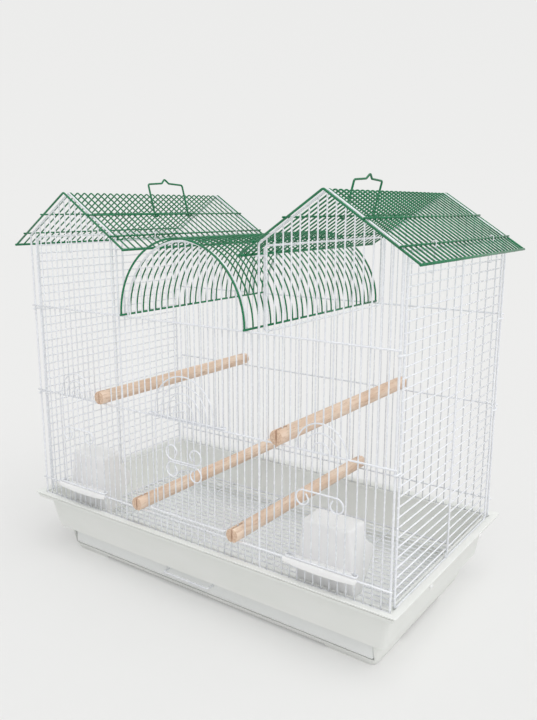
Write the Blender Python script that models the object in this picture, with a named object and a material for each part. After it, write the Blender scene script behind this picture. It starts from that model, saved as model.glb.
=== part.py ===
"""Wire bird cage with two gable roofs, a barrel roof between them and a drawer base.

Run it with blender --background --python part.py, or from the text editor.
Metres, +Z up, front at -Y, origin on the ground under the middle of the cage.
"""
import math

import bmesh
import bpy
from mathutils import Matrix, Vector

# Wire and plastic stock
BAR_WIRE = 0.0020
FRAME_WIRE = 0.0030
RAIL_WIRE = 0.0026
ROOF_WIRE = 0.0022
ROOF_END_WIRE = 0.0030
PURLIN_WIRE = 0.0024
HANDLE_WIRE = 0.0030
HOOK_WIRE = 0.0024
CLIP_WIRE = 0.0014
WELD = 0.00025
SEAT_GAP = 0.0003
SLIDE_GAP = 0.00035

# Panels: the bars stand on one pitch, and the houses and the middle bay are whole numbers of it
BAR_PITCH = 0.012
HOUSE_SPACES = 16
MIDDLE_SPACES = 21
PANEL_DEPTH = 0.338
LOW_RAIL = 0.0267
MID_RAIL = 0.1780
UPPER_RAIL = 0.3162
RAIL_OVERHANG = 0.0035
SIDE_SETBACK = 0.012
SIDE_BARS = 32
SIDE_FIRST_BAR = 0.012
PANEL_HOOK_DROP = 0.006
PANEL_HOOK_REACH = 0.0015

# Roofs
RIDGE = 0.490
ROOF_DROP = 0.079
ROOF_OVERHANG = 0.0245
ROOF_FRONT = 0.0095
ROOF_REAR = 0.0045
ROOF_BARS = 26
PURLIN_END = 0.001
UPPER_PURLIN_SHARE = 0.43
GABLE_SINK = 0.0006
BARREL_RADIUS = 0.1105
BARREL_SEGMENTS = 8
BARREL_FIRST_BAR = 0.0086
ARCH_INSET = 0.0040
ARCH_SEGMENTS = 12
CLIP_GAPS = (5, 20)

# Handles
HANDLE_GAPS = 3
HANDLE_HEIGHT = 0.051
HANDLE_SAG = 0.002
HANDLE_SHOULDER = 0.003
HANDLE_PEAK_WIDTH = 0.016
HANDLE_PEAK = 0.007
HANDLE_LEAN = math.radians(15)
HANDLE_EYE = 0.0020

# Doors
CENTRE_DOOR_SPACES = 11
FEEDER_DOOR_SPACES = 8
CENTRE_FOOT_RISE = 0.009
CENTRE_ARCH_BASE = 0.011
FEEDER_ARCH_BASE = 0.0025
LOOP_REACH = 0.0040
CENTRE_SCROLL_HALF = 0.033
CENTRE_SCROLL_LEVEL = 0.119
CENTRE_SCROLL_RADIUS = 0.0115
FEEDER_SCROLL_HALF = 0.0345
FEEDER_SCROLL_LEVEL = 0.128
FEEDER_SCROLL_RADIUS = 0.0105
SCROLL_NARROWING = 0.81
SCROLL_TAIL = 0.0075
SCROLL_TAIL_LEAN = math.radians(30)

# Cups
CUP_FRONT = 0.0062
CUP_LEAN = 0.0026
CUP_WALL = 0.0018
CUP_BOTTOM_HALF = 0.0445
CUP_TOP_HALF = 0.0350
CUP_FLOOR = -0.006
CUP_TOP = 0.083
CUP_HOOD_DEPTH = 0.042
CUP_BOWL_DEPTH = 0.063
CUP_BOWL_LIP = 0.041
CUP_HOOD_EDGE = 0.0595
LIP_THICKNESS = 0.0016
LIP_HALF = 0.054
LIP_DROP = 0.0095
LIP_BOW = 0.4
LIP_FRONT = 0.0092

# Perches
PERCH_DIAMETER = 0.020
PERCH_FRONT = 0.014
PERCH_REAR = 0.0075
PERCH_SLOT_IN = 0.0105
PERCH_SIDES = 12
HIGH_PERCH_BARS = (13, 40)
LOW_PERCH_BARS = (19, 34)

# Base shell: its sections are set in or out from the panels' planes
BASE_HEIGHT = 0.105
RIM_RISE = 0.002
RIM_OUT = 0.0145
RIM_LIP = 0.0085
RIM_LIP_DROP = 0.010
RIM_DISH = 0.002
RIM_WALL = 0.0022
GROOVE_HALF = 0.0026
GROOVE_DEPTH = 0.0045
BASE_WALL = 0.0028
BODY_TOP_IN = 0.0015
BODY_FOOT_IN = 0.0105
BODY_FOOT = 0.046
STEP_IN = 0.023
STEP_FOOT = 0.037
SKIRT_IN = 0.028
SKIRT_FOOT = 0.011
FOOT_IN = 0.033
RUNNER_IN = 0.052
RUNNER_TOP = 0.0107
LEDGE_WIDTH = 0.0053
FOOT_LENGTH = 0.075
FOOT_RISE = 0.0045
SLOT_END = 0.032
SLOT_TOP = 0.0354

# Drawer and its pull
DRAWER_WALL = 0.0022
DRAWER_SIDE_GAP = 0.0012
DRAWER_TOP_GAP = 0.0008
DRAWER_FACE_IN = 0.0275
DRAWER_RECESS = (-0.0725, 0.0764)
DRAWER_RECESS_DEPTH = 0.0010
PULL_WIRE = 0.0026
PULL_CENTRE = -0.024
PULL_HALF = 0.044
PULL_REACH = 0.012
PULL_HEIGHT = 0.0285

# Floor grille
GRILLE_BARS = 24
GRILLE_CORNER = 0.006
GRILLE_CROSS = (-0.170, -0.057, 0.057, 0.170)

# Small plastic buttons at the ends of the base
BUTTON_DIAMETER = 0.007
BUTTON_HOLE = 0.0026
BUTTON_THICKNESS = 0.0016
BUTTON_PLACES = (-0.077, 0.101)

# Derived places
TOTAL_SPACES = 2 * HOUSE_SPACES + MIDDLE_SPACES
HALF_WIDTH = TOTAL_SPACES * BAR_PITCH / 2
HALF_DEPTH = PANEL_DEPTH / 2
HOUSE_HALF = HOUSE_SPACES * BAR_PITCH / 2
ROOF_RUN = HOUSE_HALF + ROOF_OVERHANG
SLOPE = math.atan2(ROOF_DROP, ROOF_RUN)
RIDGE_X = HALF_WIDTH - HOUSE_HALF
RAIL_OUT = FRAME_WIRE / 2 - WELD + RAIL_WIRE / 2
RAIL_FACE = RAIL_OUT + RAIL_WIRE / 2
DOOR_OUT = RAIL_FACE + SLIDE_GAP + BAR_WIRE / 2
LOOP_IN = BAR_WIRE / 2 + SLIDE_GAP + RAIL_WIRE / 2
FOOT_WIRE_Z = BASE_HEIGHT - GROOVE_DEPTH + SEAT_GAP + FRAME_WIRE / 2
WALL_TOP_Z = (BASE_HEIGHT + RIDGE - HOUSE_HALF * math.tan(SLOPE) - FRAME_WIRE / 2 * math.tan(SLOPE)
              - ROOF_WIRE / 2 / math.cos(SLOPE) - SEAT_GAP - FRAME_WIRE / 2)
PURLIN_RISE = ROOF_END_WIRE / 2 - WELD + PURLIN_WIRE / 2
BARREL_FOOT_Z = BASE_HEIGHT + UPPER_RAIL + RAIL_WIRE / 2 + SEAT_GAP + RAIL_WIRE / 2
CENTRE_FOOT = LOW_RAIL + CENTRE_FOOT_RISE
FEEDER_FOOT = LOW_RAIL + RAIL_WIRE + 2 * SEAT_GAP + LIP_THICKNESS
GRILLE_Z = BODY_FOOT + SEAT_GAP + RAIL_WIRE / 2

X_AXIS = Vector((1, 0, 0))
Y_AXIS = Vector((0, 1, 0))
Z_AXIS = Vector((0, 0, 1))


def clear_scene():
    for item in list(bpy.data.objects):
        bpy.data.objects.remove(item, do_unlink=True)


def linear(channel):
    value = channel / 255
    return value / 12.92 if value <= 0.04045 else ((value + 0.055) / 1.055) ** 2.4


def make_material(name, red, green, blue, roughness, metallic=0.0):
    material = bpy.data.materials.new(name)
    material.use_nodes = True
    shader = material.node_tree.nodes["Principled BSDF"]
    shader.inputs["Base Color"].default_value = (linear(red), linear(green), linear(blue), 1)
    shader.inputs["Roughness"].default_value = roughness
    shader.inputs["Metallic"].default_value = metallic
    return material


def bar_x(index):
    return index * BAR_PITCH - HALF_WIDTH


def roof_z(distance):
    """Height of the roof wires' centreline at a distance from the ridge."""
    return BASE_HEIGHT + RIDGE - abs(distance) * math.tan(SLOPE)


def gable_z(distance):
    return roof_z(distance) - GABLE_SINK / math.cos(SLOPE)


def section(centre, along, side, width, sides):
    """Corners of a regular section whose flats face the side vector."""
    across = (side - side.dot(along) * along).normalized()
    third = along.cross(across)
    reach = width / 2 / math.cos(math.pi / sides)
    corners = []
    for index in range(sides):
        angle = 2 * math.pi * (index + 0.5) / sides
        corners.append(centre + reach * (math.cos(angle) * across + math.sin(angle) * third))
    return corners


def slide_to_plane(corners, along, point, normal):
    """Carry a section along a straight run to a mitre plane."""
    scale = along.dot(normal)
    return [corner + along * ((point - corner).dot(normal) / scale) for corner in corners]


class Wires:
    """A set of bent wires, each a closed body with mitred bends."""

    def __init__(self):
        self.mesh = bmesh.new()

    def add(self, path, width, side, sides=4, closed=False):
        points = [Vector(point) for point in path]
        count = len(points)
        ends = points + points[:1] if closed else points
        runs = [(after - before).normalized() for before, after in zip(ends, ends[1:])]
        rings = []
        if closed:
            ring = section((points[0] + points[1]) / 2, runs[0], side, width, sides)
            for index in range(1, count + 1):
                before = runs[index - 1]
                after = runs[index % count]
                ring = slide_to_plane(ring, before, ends[index], (before + after).normalized())
                rings.append(ring)
        else:
            ring = section(points[0], runs[0], side, width, sides)
            rings.append(ring)
            for index in range(1, count - 1):
                normal = (runs[index - 1] + runs[index]).normalized()
                ring = slide_to_plane(ring, runs[index - 1], points[index], normal)
                rings.append(ring)
            rings.append(slide_to_plane(ring, runs[-1], points[-1], runs[-1]))
        self.skin(rings, closed)

    def skin(self, rings, closed):
        made = [[self.mesh.verts.new(corner) for corner in ring] for ring in rings]
        pairs = list(zip(made, made[1:]))
        if closed:
            pairs.append((made[-1], made[0]))
        for first, second in pairs:
            for index in range(len(first)):
                after = (index + 1) % len(first)
                self.mesh.faces.new((first[index], first[after], second[after], second[index]))
        if not closed:
            self.mesh.faces.new(list(reversed(made[0])))
            self.mesh.faces.new(made[-1])

    def build(self, name, material, origin=Vector((0, 0, 0))):
        return finish_mesh(self.mesh, name, material, origin)


def finish_mesh(mesh, name, material, origin=Vector((0, 0, 0))):
    bmesh.ops.recalc_face_normals(mesh, faces=mesh.faces)
    mesh.transform(Matrix.Translation(-origin))
    data = bpy.data.meshes.new(name)
    mesh.to_mesh(data)
    mesh.free()
    made = bpy.data.objects.new(name, data)
    made.location = origin
    if material:
        data.materials.append(material)
    bpy.context.scene.collection.objects.link(made)
    return made


def combine(target, tool, operation):
    """Join a helper to an object, or cut it away, and leave the helper out of the part."""
    tool.hide_render = True
    tool.display_type = "WIRE"
    modifier = target.modifiers.new(tool.name, "BOOLEAN")
    modifier.operation = operation
    modifier.object = tool
    return target


def box_into(mesh, low, high):
    made = bmesh.ops.create_cube(mesh, size=1)["verts"]
    low = Vector(low)
    high = Vector(high)
    for vertex in made:
        vertex.co = Vector((low[axis] + (vertex.co[axis] + 0.5) * (high[axis] - low[axis]) for axis in range(3)))
    return made


def slanted_box_into(mesh, low, high, axis):
    """A box whose bottom is longer than its top along one axis, with ends at 45 degrees."""
    for vertex in box_into(mesh, low, high):
        if vertex.co.z < (low[2] + high[2]) / 2:
            vertex.co[axis] += math.copysign(high[2] - low[2], vertex.co[axis])


def prism_into(mesh, outline, half_at):
    """Close an outline in Y and Z between two side faces whose half width follows the height."""
    sides = []
    for sign in (-1, 1):
        sides.append([mesh.verts.new((sign * half_at(z), y, z)) for y, z in outline])
    left, right = sides
    mesh.faces.new(left)
    mesh.faces.new(list(reversed(right)))
    for index in range(len(outline)):
        after = (index + 1) % len(outline)
        mesh.faces.new((left[index], right[index], right[after], left[after]))


def arc_points(centre, radius, start, end, steps, place):
    points = []
    for index in range(steps + 1):
        angle = start + (end - start) * index / steps
        points.append(place(centre[0] + radius * math.cos(angle), centre[1] + radius * math.sin(angle)))
    return points


def white_arch(place):
    """The bent wire of the middle bay, from rail to rail over the top."""
    radius = BARREL_RADIUS - ARCH_INSET
    foot = BASE_HEIGHT + UPPER_RAIL - RAIL_WIRE / 4
    over = arc_points((0, BARREL_FOOT_Z), radius, math.pi, 0, ARCH_SEGMENTS, place)
    return [place(-radius, foot)] + over + [place(radius, foot)]


def height_on(path, x):
    """Height of a bent wire's centreline at one place across the panel."""
    for before, after in zip(path, path[1:]):
        low, high = sorted((before.x, after.x))
        if low <= x <= high and high > low:
            share = (x - before.x) / (after.x - before.x)
            return before.z + share * (after.z - before.z)
    return None


def door_guides():
    """First and last guide bar of each door opening."""
    centre = (TOTAL_SPACES - CENTRE_DOOR_SPACES) // 2
    feeder = (HOUSE_SPACES - FEEDER_DOOR_SPACES) // 2
    right = HOUSE_SPACES + MIDDLE_SPACES + feeder
    return {
        "centre": (centre, centre + CENTRE_DOOR_SPACES),
        "left": (feeder, feeder + FEEDER_DOOR_SPACES),
        "right": (right, right + FEEDER_DOOR_SPACES),
    }


def looped_rail(first_x, last_x, y_front, y_back, z):
    """A rail whose ends turn back round two guide bars."""
    left = first_x - LOOP_REACH
    right = last_x + LOOP_REACH
    return [
        (first_x + LOOP_REACH, y_back, z), (left, y_back, z), (left, y_front, z),
        (right, y_front, z), (right, y_back, z), (last_x - LOOP_REACH, y_back, z),
    ]


def bar_spans(index, arch, in_opening):
    """Lower and upper ends of the pieces of one bar."""
    x = bar_x(index)
    if index < HOUSE_SPACES or index > HOUSE_SPACES + MIDDLE_SPACES:
        top = gable_z(RIDGE_X - abs(x))
    else:
        top = height_on(arch, x) or BASE_HEIGHT + UPPER_RAIL + RAIL_WIRE / 2
    if in_opening:
        return [(FOOT_WIRE_Z, BASE_HEIGHT + LOW_RAIL + RAIL_WIRE / 2),
                (BASE_HEIGHT + MID_RAIL - RAIL_WIRE / 2, top)]
    return [(FOOT_WIRE_Z, top)]


def make_end_panel(name, y, outward, doors, material):
    """Front or back panel: thin bars, bent house frames with the arch, and outside rails."""
    def place(x, z):
        return Vector((x, y, z))

    arch = white_arch(place)
    guides = door_guides().values() if doors else []
    bars = Wires()
    posts = (0, HOUSE_SPACES, HOUSE_SPACES + MIDDLE_SPACES, TOTAL_SPACES)
    for index in range(TOTAL_SPACES + 1):
        if index in posts:
            continue
        opening = any(first < index < last for first, last in guides)
        for low, high in bar_spans(index, arch, opening):
            bars.add([place(bar_x(index), low), place(bar_x(index), high)], BAR_WIRE, Y_AXIS)

    frames = Wires()
    for first, last in (posts[:2], posts[2:]):
        left, right = bar_x(first), bar_x(last)
        eave = gable_z(HOUSE_HALF)
        outline = [place(left, FOOT_WIRE_Z), place(left, eave),
                   place((left + right) / 2, gable_z(0)),
                   place(right, eave), place(right, FOOT_WIRE_Z)]
        frames.add(outline, FRAME_WIRE, Y_AXIS, closed=True)
    frames.add(arch, FRAME_WIRE, Y_AXIS)

    rails = Wires()
    reach = HALF_WIDTH + RAIL_OVERHANG
    rail_y = y + outward * RAIL_OUT
    for height in (LOW_RAIL, MID_RAIL, UPPER_RAIL):
        z = BASE_HEIGHT + height
        rails.add([(-reach, rail_y, z), (reach, rail_y, z)], RAIL_WIRE, Y_AXIS)
    rails.add([place(bar_x(posts[1]), FOOT_WIRE_Z), place(bar_x(posts[2]), FOOT_WIRE_Z)], RAIL_WIRE, Y_AXIS)

    panel = bars.build(name, material)
    combine(panel, frames.build(name + "_frames", material), "UNION")
    combine(panel, rails.build(name + "_rails", material), "UNION")
    return panel


def wall_hooks(wires, x, outward, heights):
    """Short bent wires that reach from a wall's end posts round the posts of the end panels."""
    offset = FRAME_WIRE / 2 + SLIDE_GAP + HOOK_WIRE / 2
    for sign in (-1, 1):
        post_y = sign * (HALF_DEPTH - SIDE_SETBACK)
        far_y = sign * (HALF_DEPTH + offset)
        for z in heights:
            wires.add([(x, post_y, z), (x + outward * offset, post_y + sign * offset, z),
                       (x + outward * offset, far_y, z), (x - outward * PANEL_HOOK_REACH, far_y, z)],
                      HOOK_WIRE, Z_AXIS)


def wall_frame(x, low):
    """The bent wire round a side panel or inner wall."""
    reach = HALF_DEPTH - SIDE_SETBACK
    frame = Wires()
    frame.add([(x, -reach, low), (x, -reach, WALL_TOP_Z), (x, reach, WALL_TOP_Z), (x, reach, low)],
              FRAME_WIRE, X_AXIS, closed=True)
    return frame


def make_side_panel(name, side, material):
    """The end wall of a house: a bent frame, level bars between its posts and one outside post."""
    x = side * HALF_WIDTH
    reach = HALF_DEPTH - SIDE_SETBACK
    bars = Wires()
    for z in side_bar_heights():
        bars.add([(x, -reach, z), (x, reach, z)], BAR_WIRE, X_AXIS)
    outside = Wires()
    outside_x = x + side * RAIL_OUT
    step_out = BASE_HEIGHT + RIM_RISE + RAIL_WIRE
    outside.add([(x, 0, FOOT_WIRE_Z), (x, 0, step_out), (outside_x, 0, step_out + RAIL_WIRE),
                 (outside_x, 0, WALL_TOP_Z + FRAME_WIRE / 4)], RAIL_WIRE, X_AXIS)
    hook_heights = [BASE_HEIGHT + rail - PANEL_HOOK_DROP for rail in (MID_RAIL, UPPER_RAIL)]
    wall_hooks(outside, x, side, hook_heights)
    panel = bars.build(name, material)
    combine(panel, wall_frame(x, FOOT_WIRE_Z).build(name + "_frame", material), "UNION")
    combine(panel, outside.build(name + "_outside", material), "UNION")
    return panel


def make_inner_wall(name, side, material):
    """The open frame between a house and the middle bay, above the upper rails."""
    x = side * -bar_x(HOUSE_SPACES)
    hooks = Wires()
    wall_hooks(hooks, x, -side, [WALL_TOP_Z - 2 * PANEL_HOOK_DROP])
    wall = wall_frame(x, BASE_HEIGHT + UPPER_RAIL).build(name, material)
    combine(wall, hooks.build(name + "_hooks", material), "UNION")
    return wall


def side_bar_heights():
    first = BASE_HEIGHT + SIDE_FIRST_BAR
    step = (WALL_TOP_Z - first) / SIDE_BARS
    return [first + step * index for index in range(SIDE_BARS)]


def roof_ends():
    return -HALF_DEPTH - ROOF_FRONT, HALF_DEPTH + ROOF_REAR


def gable_bar_places():
    """Places of a gable roof's thin wires, which share its depth evenly with the end ones."""
    front, rear = roof_ends()
    step = (rear - front) / (ROOF_BARS + 1)
    return [front + step * (index + 1) for index in range(ROOF_BARS)]


def barrel_bar_places():
    inner = HALF_DEPTH - BARREL_FIRST_BAR
    step = 2 * inner / (ROOF_BARS - 1)
    return [-inner + step * index for index in range(ROOF_BARS)]


def purlin_point(ridge_x, offset):
    """Centre of a purlin that lies on the roof wires at a signed distance from the ridge."""
    lean = math.copysign(math.sin(SLOPE), offset)
    return (ridge_x + offset + PURLIN_RISE * lean, roof_z(offset) + PURLIN_RISE * math.cos(SLOPE))


def purlin_offsets():
    upper = ROOF_RUN * UPPER_PURLIN_SHARE
    return (-HOUSE_HALF, -upper, upper, HOUSE_HALF)


def slope_normal(offset):
    return Vector((math.copysign(math.sin(SLOPE), offset), 0, math.cos(SLOPE)))


def make_gable_roof(name, ridge_x, material):
    ends = roof_ends()
    bars = Wires()
    for y in gable_bar_places() + list(ends):
        width = ROOF_END_WIRE if y in ends else ROOF_WIRE
        bars.add([(ridge_x - ROOF_RUN, y, roof_z(ROOF_RUN)), (ridge_x, y, roof_z(0)),
                  (ridge_x + ROOF_RUN, y, roof_z(ROOF_RUN))], width, Y_AXIS)
    lengthwise = Wires()
    front = ends[0] - ROOF_END_WIRE / 2 - PURLIN_END
    rear = ends[1] + ROOF_END_WIRE / 2 + PURLIN_END
    for sign in (-1, 1):
        x = ridge_x + sign * ROOF_RUN
        z = roof_z(ROOF_RUN)
        lengthwise.add([(x, front, z), (x, rear, z)], ROOF_END_WIRE + 2 * WELD, slope_normal(sign))
    for offset in purlin_offsets():
        x, z = purlin_point(ridge_x, offset)
        lengthwise.add([(x, front, z), (x, rear, z)], PURLIN_WIRE, slope_normal(offset))
    roof = bars.build(name, material)
    return combine(roof, lengthwise.build(name + "_purlins", material), "UNION")


def make_barrel_roof(material):
    ends = roof_ends()
    arches = Wires()
    for y in barrel_bar_places() + list(ends):
        width = ROOF_END_WIRE - 2 * WELD if y in ends else ROOF_WIRE
        path = arc_points((0, BARREL_FOOT_Z), BARREL_RADIUS, math.pi, 0, BARREL_SEGMENTS,
                          lambda x, z, y=y: Vector((x, y, z)))
        arches.add(path, width, Y_AXIS)
    feet = Wires()
    front = ends[0] - ROOF_END_WIRE / 2 - PURLIN_END
    rear = ends[1] + ROOF_END_WIRE / 2 + PURLIN_END
    for sign in (-1, 1):
        feet.add([(sign * BARREL_RADIUS, front, BARREL_FOOT_Z), (sign * BARREL_RADIUS, rear, BARREL_FOOT_Z)],
                 RAIL_WIRE + 2 * WELD, X_AXIS)
    roof = arches.build("barrel_roof", material)
    return combine(roof, feet.build("barrel_roof_feet", material), "UNION")


def make_handle(name, ridge_x, inward, material):
    """A bail whose two eyes hook under the upper purlin of the inner slope."""
    axis_x, axis_z = purlin_point(ridge_x, inward * ROOF_RUN * UPPER_PURLIN_SHARE)
    front, rear = roof_ends()
    middle = (front + rear) / 2
    half = HANDLE_GAPS * (rear - front) / (ROOF_BARS + 1)
    eye = HANDLE_EYE + HANDLE_WIRE / 2

    def place(side, y, up):
        x = side * math.cos(HANDLE_LEAN) - up * math.sin(HANDLE_LEAN)
        z = up * math.cos(HANDLE_LEAN) + side * math.sin(HANDLE_LEAN)
        return Vector((axis_x + inward * x, middle + y, axis_z + z))

    def eye_path(y):
        return arc_points((0, 0), eye, 0, -math.pi, 6, lambda side, up: place(side, y, up))

    top = HANDLE_HEIGHT
    corner = top - HANDLE_SAG
    bend = HANDLE_SHOULDER
    path = eye_path(-half)
    path += [place(-eye, -half, corner - bend), place(-eye, -half + bend, corner)]
    path += [place(-eye, -HANDLE_PEAK_WIDTH / 2, top), place(-eye, 0, top + HANDLE_PEAK)]
    path += [place(-eye, HANDLE_PEAK_WIDTH / 2, top), place(-eye, half - bend, corner)]
    path += [place(-eye, half, corner - bend)]
    path += list(reversed(eye_path(half)))
    wires = Wires()
    wires.add(path, HANDLE_WIRE, Y_AXIS, sides=6)
    return wires.build(name, material, Vector((axis_x, middle, axis_z)))


def scroll_path(half, level, radius, turn, y, x_centre):
    """A level run whose two ends curl round to a straight tail, up for turn 1 and down for turn -1."""
    def curl(sign):
        points = []
        centre = (x_centre + sign * (half - radius), level + turn * radius)
        steps = 6
        for index in range(steps + 1):
            share = index / steps
            angle = -turn * math.pi / 2 + sign * turn * share * 1.5 * math.pi
            reach = radius * (1 + (SCROLL_NARROWING - 1) * share)
            points.append(Vector((centre[0] + reach * math.cos(angle), y, centre[1] + reach * math.sin(angle))))
        tail = Vector((sign * math.sin(SCROLL_TAIL_LEAN), 0, -turn * math.cos(SCROLL_TAIL_LEAN)))
        points.append(points[-1] + tail * SCROLL_TAIL)
        return points
    return list(reversed(curl(-1))) + curl(1)


def make_door(name, guides, foot, arch_base, has_top_rail, material):
    """A sliding door: arched legs, a foot rail looped round the guides, and scrollwork."""
    first, last = guides
    y = -HALF_DEPTH - DOOR_OUT
    middle = (bar_x(first) + bar_x(last)) / 2
    foot_z = BASE_HEIGHT + foot
    arc_z = BASE_HEIGHT + MID_RAIL + arch_base
    legs = Wires()
    inner_legs = last - first - 1
    for pair in range(inner_legs // 2):
        radius = bar_x(last - 1 - pair) - middle
        steps = max(4, min(8, 2 * round(radius / BAR_PITCH) + 2))
        over = arc_points((middle, arc_z), radius, math.pi, 0, steps, lambda x, z: Vector((x, y, z)))
        legs.add([(middle - radius, y, foot_z)] + over + [(middle + radius, y, foot_z)], BAR_WIRE, Y_AXIS)
    door = legs.build(name, material, Vector((middle, y, foot_z)))
    rails = Wires()
    rails.add(looped_rail(bar_x(first), bar_x(last), y, -HALF_DEPTH + LOOP_IN, foot_z), RAIL_WIRE, Z_AXIS)
    if has_top_rail:
        top_y = y + BAR_WIRE / 2 + RAIL_WIRE / 2 - WELD
        top_z = BASE_HEIGHT + MID_RAIL + RAIL_WIRE + SEAT_GAP
        rails.add(looped_rail(bar_x(first), bar_x(last), top_y, -HALF_DEPTH + LOOP_IN, top_z), RAIL_WIRE, Z_AXIS)
    if inner_legs % 2:
        smallest = bar_x(last - inner_legs // 2) - middle
        rails_top = arc_z + smallest
        centre_leg = Wires()
        centre_leg.add([(middle, y, foot_z), (middle, y, rails_top)], BAR_WIRE, Y_AXIS)
        combine(door, centre_leg.build(name + "_centre_leg", material), "UNION")
    combine(door, rails.build(name + "_foot_rail", material), "UNION")
    scrolls = Wires()
    scroll_y = y - BAR_WIRE / 2 - PURLIN_WIRE / 2 + WELD
    if has_top_rail:
        level = BASE_HEIGHT + CENTRE_SCROLL_LEVEL
        gap = PURLIN_WIRE / 2 + SLIDE_GAP
        for turn in (-1, 1):
            path = scroll_path(CENTRE_SCROLL_HALF, level + turn * gap, CENTRE_SCROLL_RADIUS, turn, scroll_y, middle)
            scrolls.add(path, PURLIN_WIRE, Y_AXIS)
    else:
        level = BASE_HEIGHT + FEEDER_SCROLL_LEVEL
        path = scroll_path(FEEDER_SCROLL_HALF, level, FEEDER_SCROLL_RADIUS, -1, scroll_y, middle)
        scrolls.add(path, PURLIN_WIRE, Y_AXIS)
    combine(door, scrolls.build(name + "_scrolls", material), "UNION")
    return door


def cup_outline(inset):
    """The cup's side view, from the front wall round the hood, the open mouth and the bowl."""
    front = CUP_FRONT - HALF_DEPTH
    base = BASE_HEIGHT
    outer = [
        (front, base + CUP_FLOOR), (front + CUP_LEAN, base + CUP_TOP - 0.002),
        (front + CUP_HOOD_DEPTH, base + CUP_TOP), (front + CUP_HOOD_DEPTH, base + CUP_HOOD_EDGE),
        (front + CUP_BOWL_DEPTH, base + CUP_BOWL_LIP),
        (front + CUP_BOWL_DEPTH - 0.008, base + CUP_BOWL_LIP - 0.012),
        (front + CUP_BOWL_DEPTH - 0.042, base + CUP_FLOOR),
    ]
    if not inset:
        return outer
    points = [Vector(point) for point in outer]
    shifted = []
    for index, point in enumerate(points):
        before = (point - points[index - 1]).normalized()
        after = (points[(index + 1) % len(points)] - point).normalized()
        mouth_before = index == 4
        mouth_after = index == 3
        first = Vector((-before.y, before.x)) * (-4 if mouth_before else 1)
        second = Vector((-after.y, after.x)) * (-4 if mouth_after else 1)
        corner = inset_corner(point, before, after, first, second)
        shifted.append((corner.x, corner.y))
    return shifted


def inset_corner(point, before, after, first, second):
    """Where the two walls beside a corner meet once each has moved in by its own share of the wall."""
    start = point - first * CUP_WALL
    other = point - second * CUP_WALL
    cross = before.x * after.y - before.y * after.x
    gap = other - start
    reach = (gap.x * after.y - gap.y * after.x) / cross
    return start + before * reach


def cup_half_at(inset):
    low = BASE_HEIGHT + CUP_FLOOR
    high = BASE_HEIGHT + CUP_TOP

    def half(z):
        share = (z - low) / (high - low)
        return CUP_BOTTOM_HALF + (CUP_TOP_HALF - CUP_BOTTOM_HALF) * share - inset
    return half


def lip_into(mesh, neck_half):
    """The lip: over the low rail, then widening and drooping in front of it."""
    top = BASE_HEIGHT + LOW_RAIL + RAIL_WIRE / 2 + SEAT_GAP + LIP_THICKNESS
    front = -HALF_DEPTH
    rows = [
        (front + CUP_FRONT + CUP_LEAN, neck_half, 0.0),
        (front - RAIL_FACE - SEAT_GAP, neck_half, 0.0),
        (front - RAIL_FACE - SEAT_GAP - LIP_THICKNESS / 2, LIP_HALF, 0.0),
        (front - LIP_FRONT + LIP_THICKNESS / 2, LIP_HALF, 0.35),
        (front - LIP_FRONT, LIP_HALF, 1.0),
    ]
    columns = 8
    upper = []
    lower = []
    for y, half, share in rows:
        top_row = []
        low_row = []
        for index in range(columns + 1):
            across = 2 * index / columns - 1
            droop = share * LIP_DROP * (1 - LIP_BOW * across * across)
            z = top - droop
            back = LIP_THICKNESS * share
            down = LIP_THICKNESS * (1 - share)
            top_row.append(mesh.verts.new((across * half, y, z)))
            low_row.append(mesh.verts.new((across * half, y + back, z - down)))
        upper.append(top_row)
        lower.append(low_row)
    for grid in (upper, lower):
        for near, far in zip(grid, grid[1:]):
            for index in range(columns):
                mesh.faces.new((near[index], near[index + 1], far[index + 1], far[index]))
    for row in (0, len(rows) - 1):
        for index in range(columns):
            mesh.faces.new((upper[row][index], upper[row][index + 1], lower[row][index + 1], lower[row][index]))
    for column in (0, columns):
        for row in range(len(rows) - 1):
            mesh.faces.new((upper[row][column], upper[row + 1][column],
                            lower[row + 1][column], lower[row][column]))


def make_cup(name, guides, material):
    middle = (bar_x(guides[0]) + bar_x(guides[1])) / 2
    place = Matrix.Translation((middle, 0, 0))
    outer = bmesh.new()
    prism_into(outer, cup_outline(False), cup_half_at(0))
    outer.transform(place)
    lip = bmesh.new()
    neck_half = (bar_x(guides[1]) - bar_x(guides[0])) / 2 - BAR_WIRE / 2 - 2 * SEAT_GAP
    lip_into(lip, neck_half)
    lip.transform(place)
    hollow = bmesh.new()
    prism_into(hollow, cup_outline(True), cup_half_at(CUP_WALL))
    hollow.transform(place)
    cup = finish_mesh(outer, name, material)
    combine(cup, finish_mesh(lip, name + "_lip", None), "UNION")
    combine(cup, finish_mesh(hollow, name + "_hollow", None), "DIFFERENCE")
    return cup


def make_perch(name, index, rail, material):
    """A dowel with a slot in each end that straddles a bar."""
    centre = Vector((bar_x(index), 0, BASE_HEIGHT + rail + RAIL_WIRE / 2 + SEAT_GAP + PERCH_DIAMETER / 2))
    ends = (-HALF_DEPTH - PERCH_FRONT, HALF_DEPTH + PERCH_REAR)
    dowel = Wires()
    dowel.add([centre + Y_AXIS * end for end in ends], PERCH_DIAMETER, Z_AXIS, sides=PERCH_SIDES)
    slots = bmesh.new()
    half = BAR_WIRE / 2 + SEAT_GAP
    tall = PERCH_DIAMETER
    for sign, end in zip((-1, 1), ends):
        near, far = sorted((sign * (HALF_DEPTH - PERCH_SLOT_IN), end + sign * PERCH_SLOT_IN))
        box_into(slots, (centre.x - half, near, centre.z - tall), (centre.x + half, far, centre.z + tall))
    perch = dowel.build(name, material)
    return combine(perch, finish_mesh(slots, name + "_slots", None), "DIFFERENCE")


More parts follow.
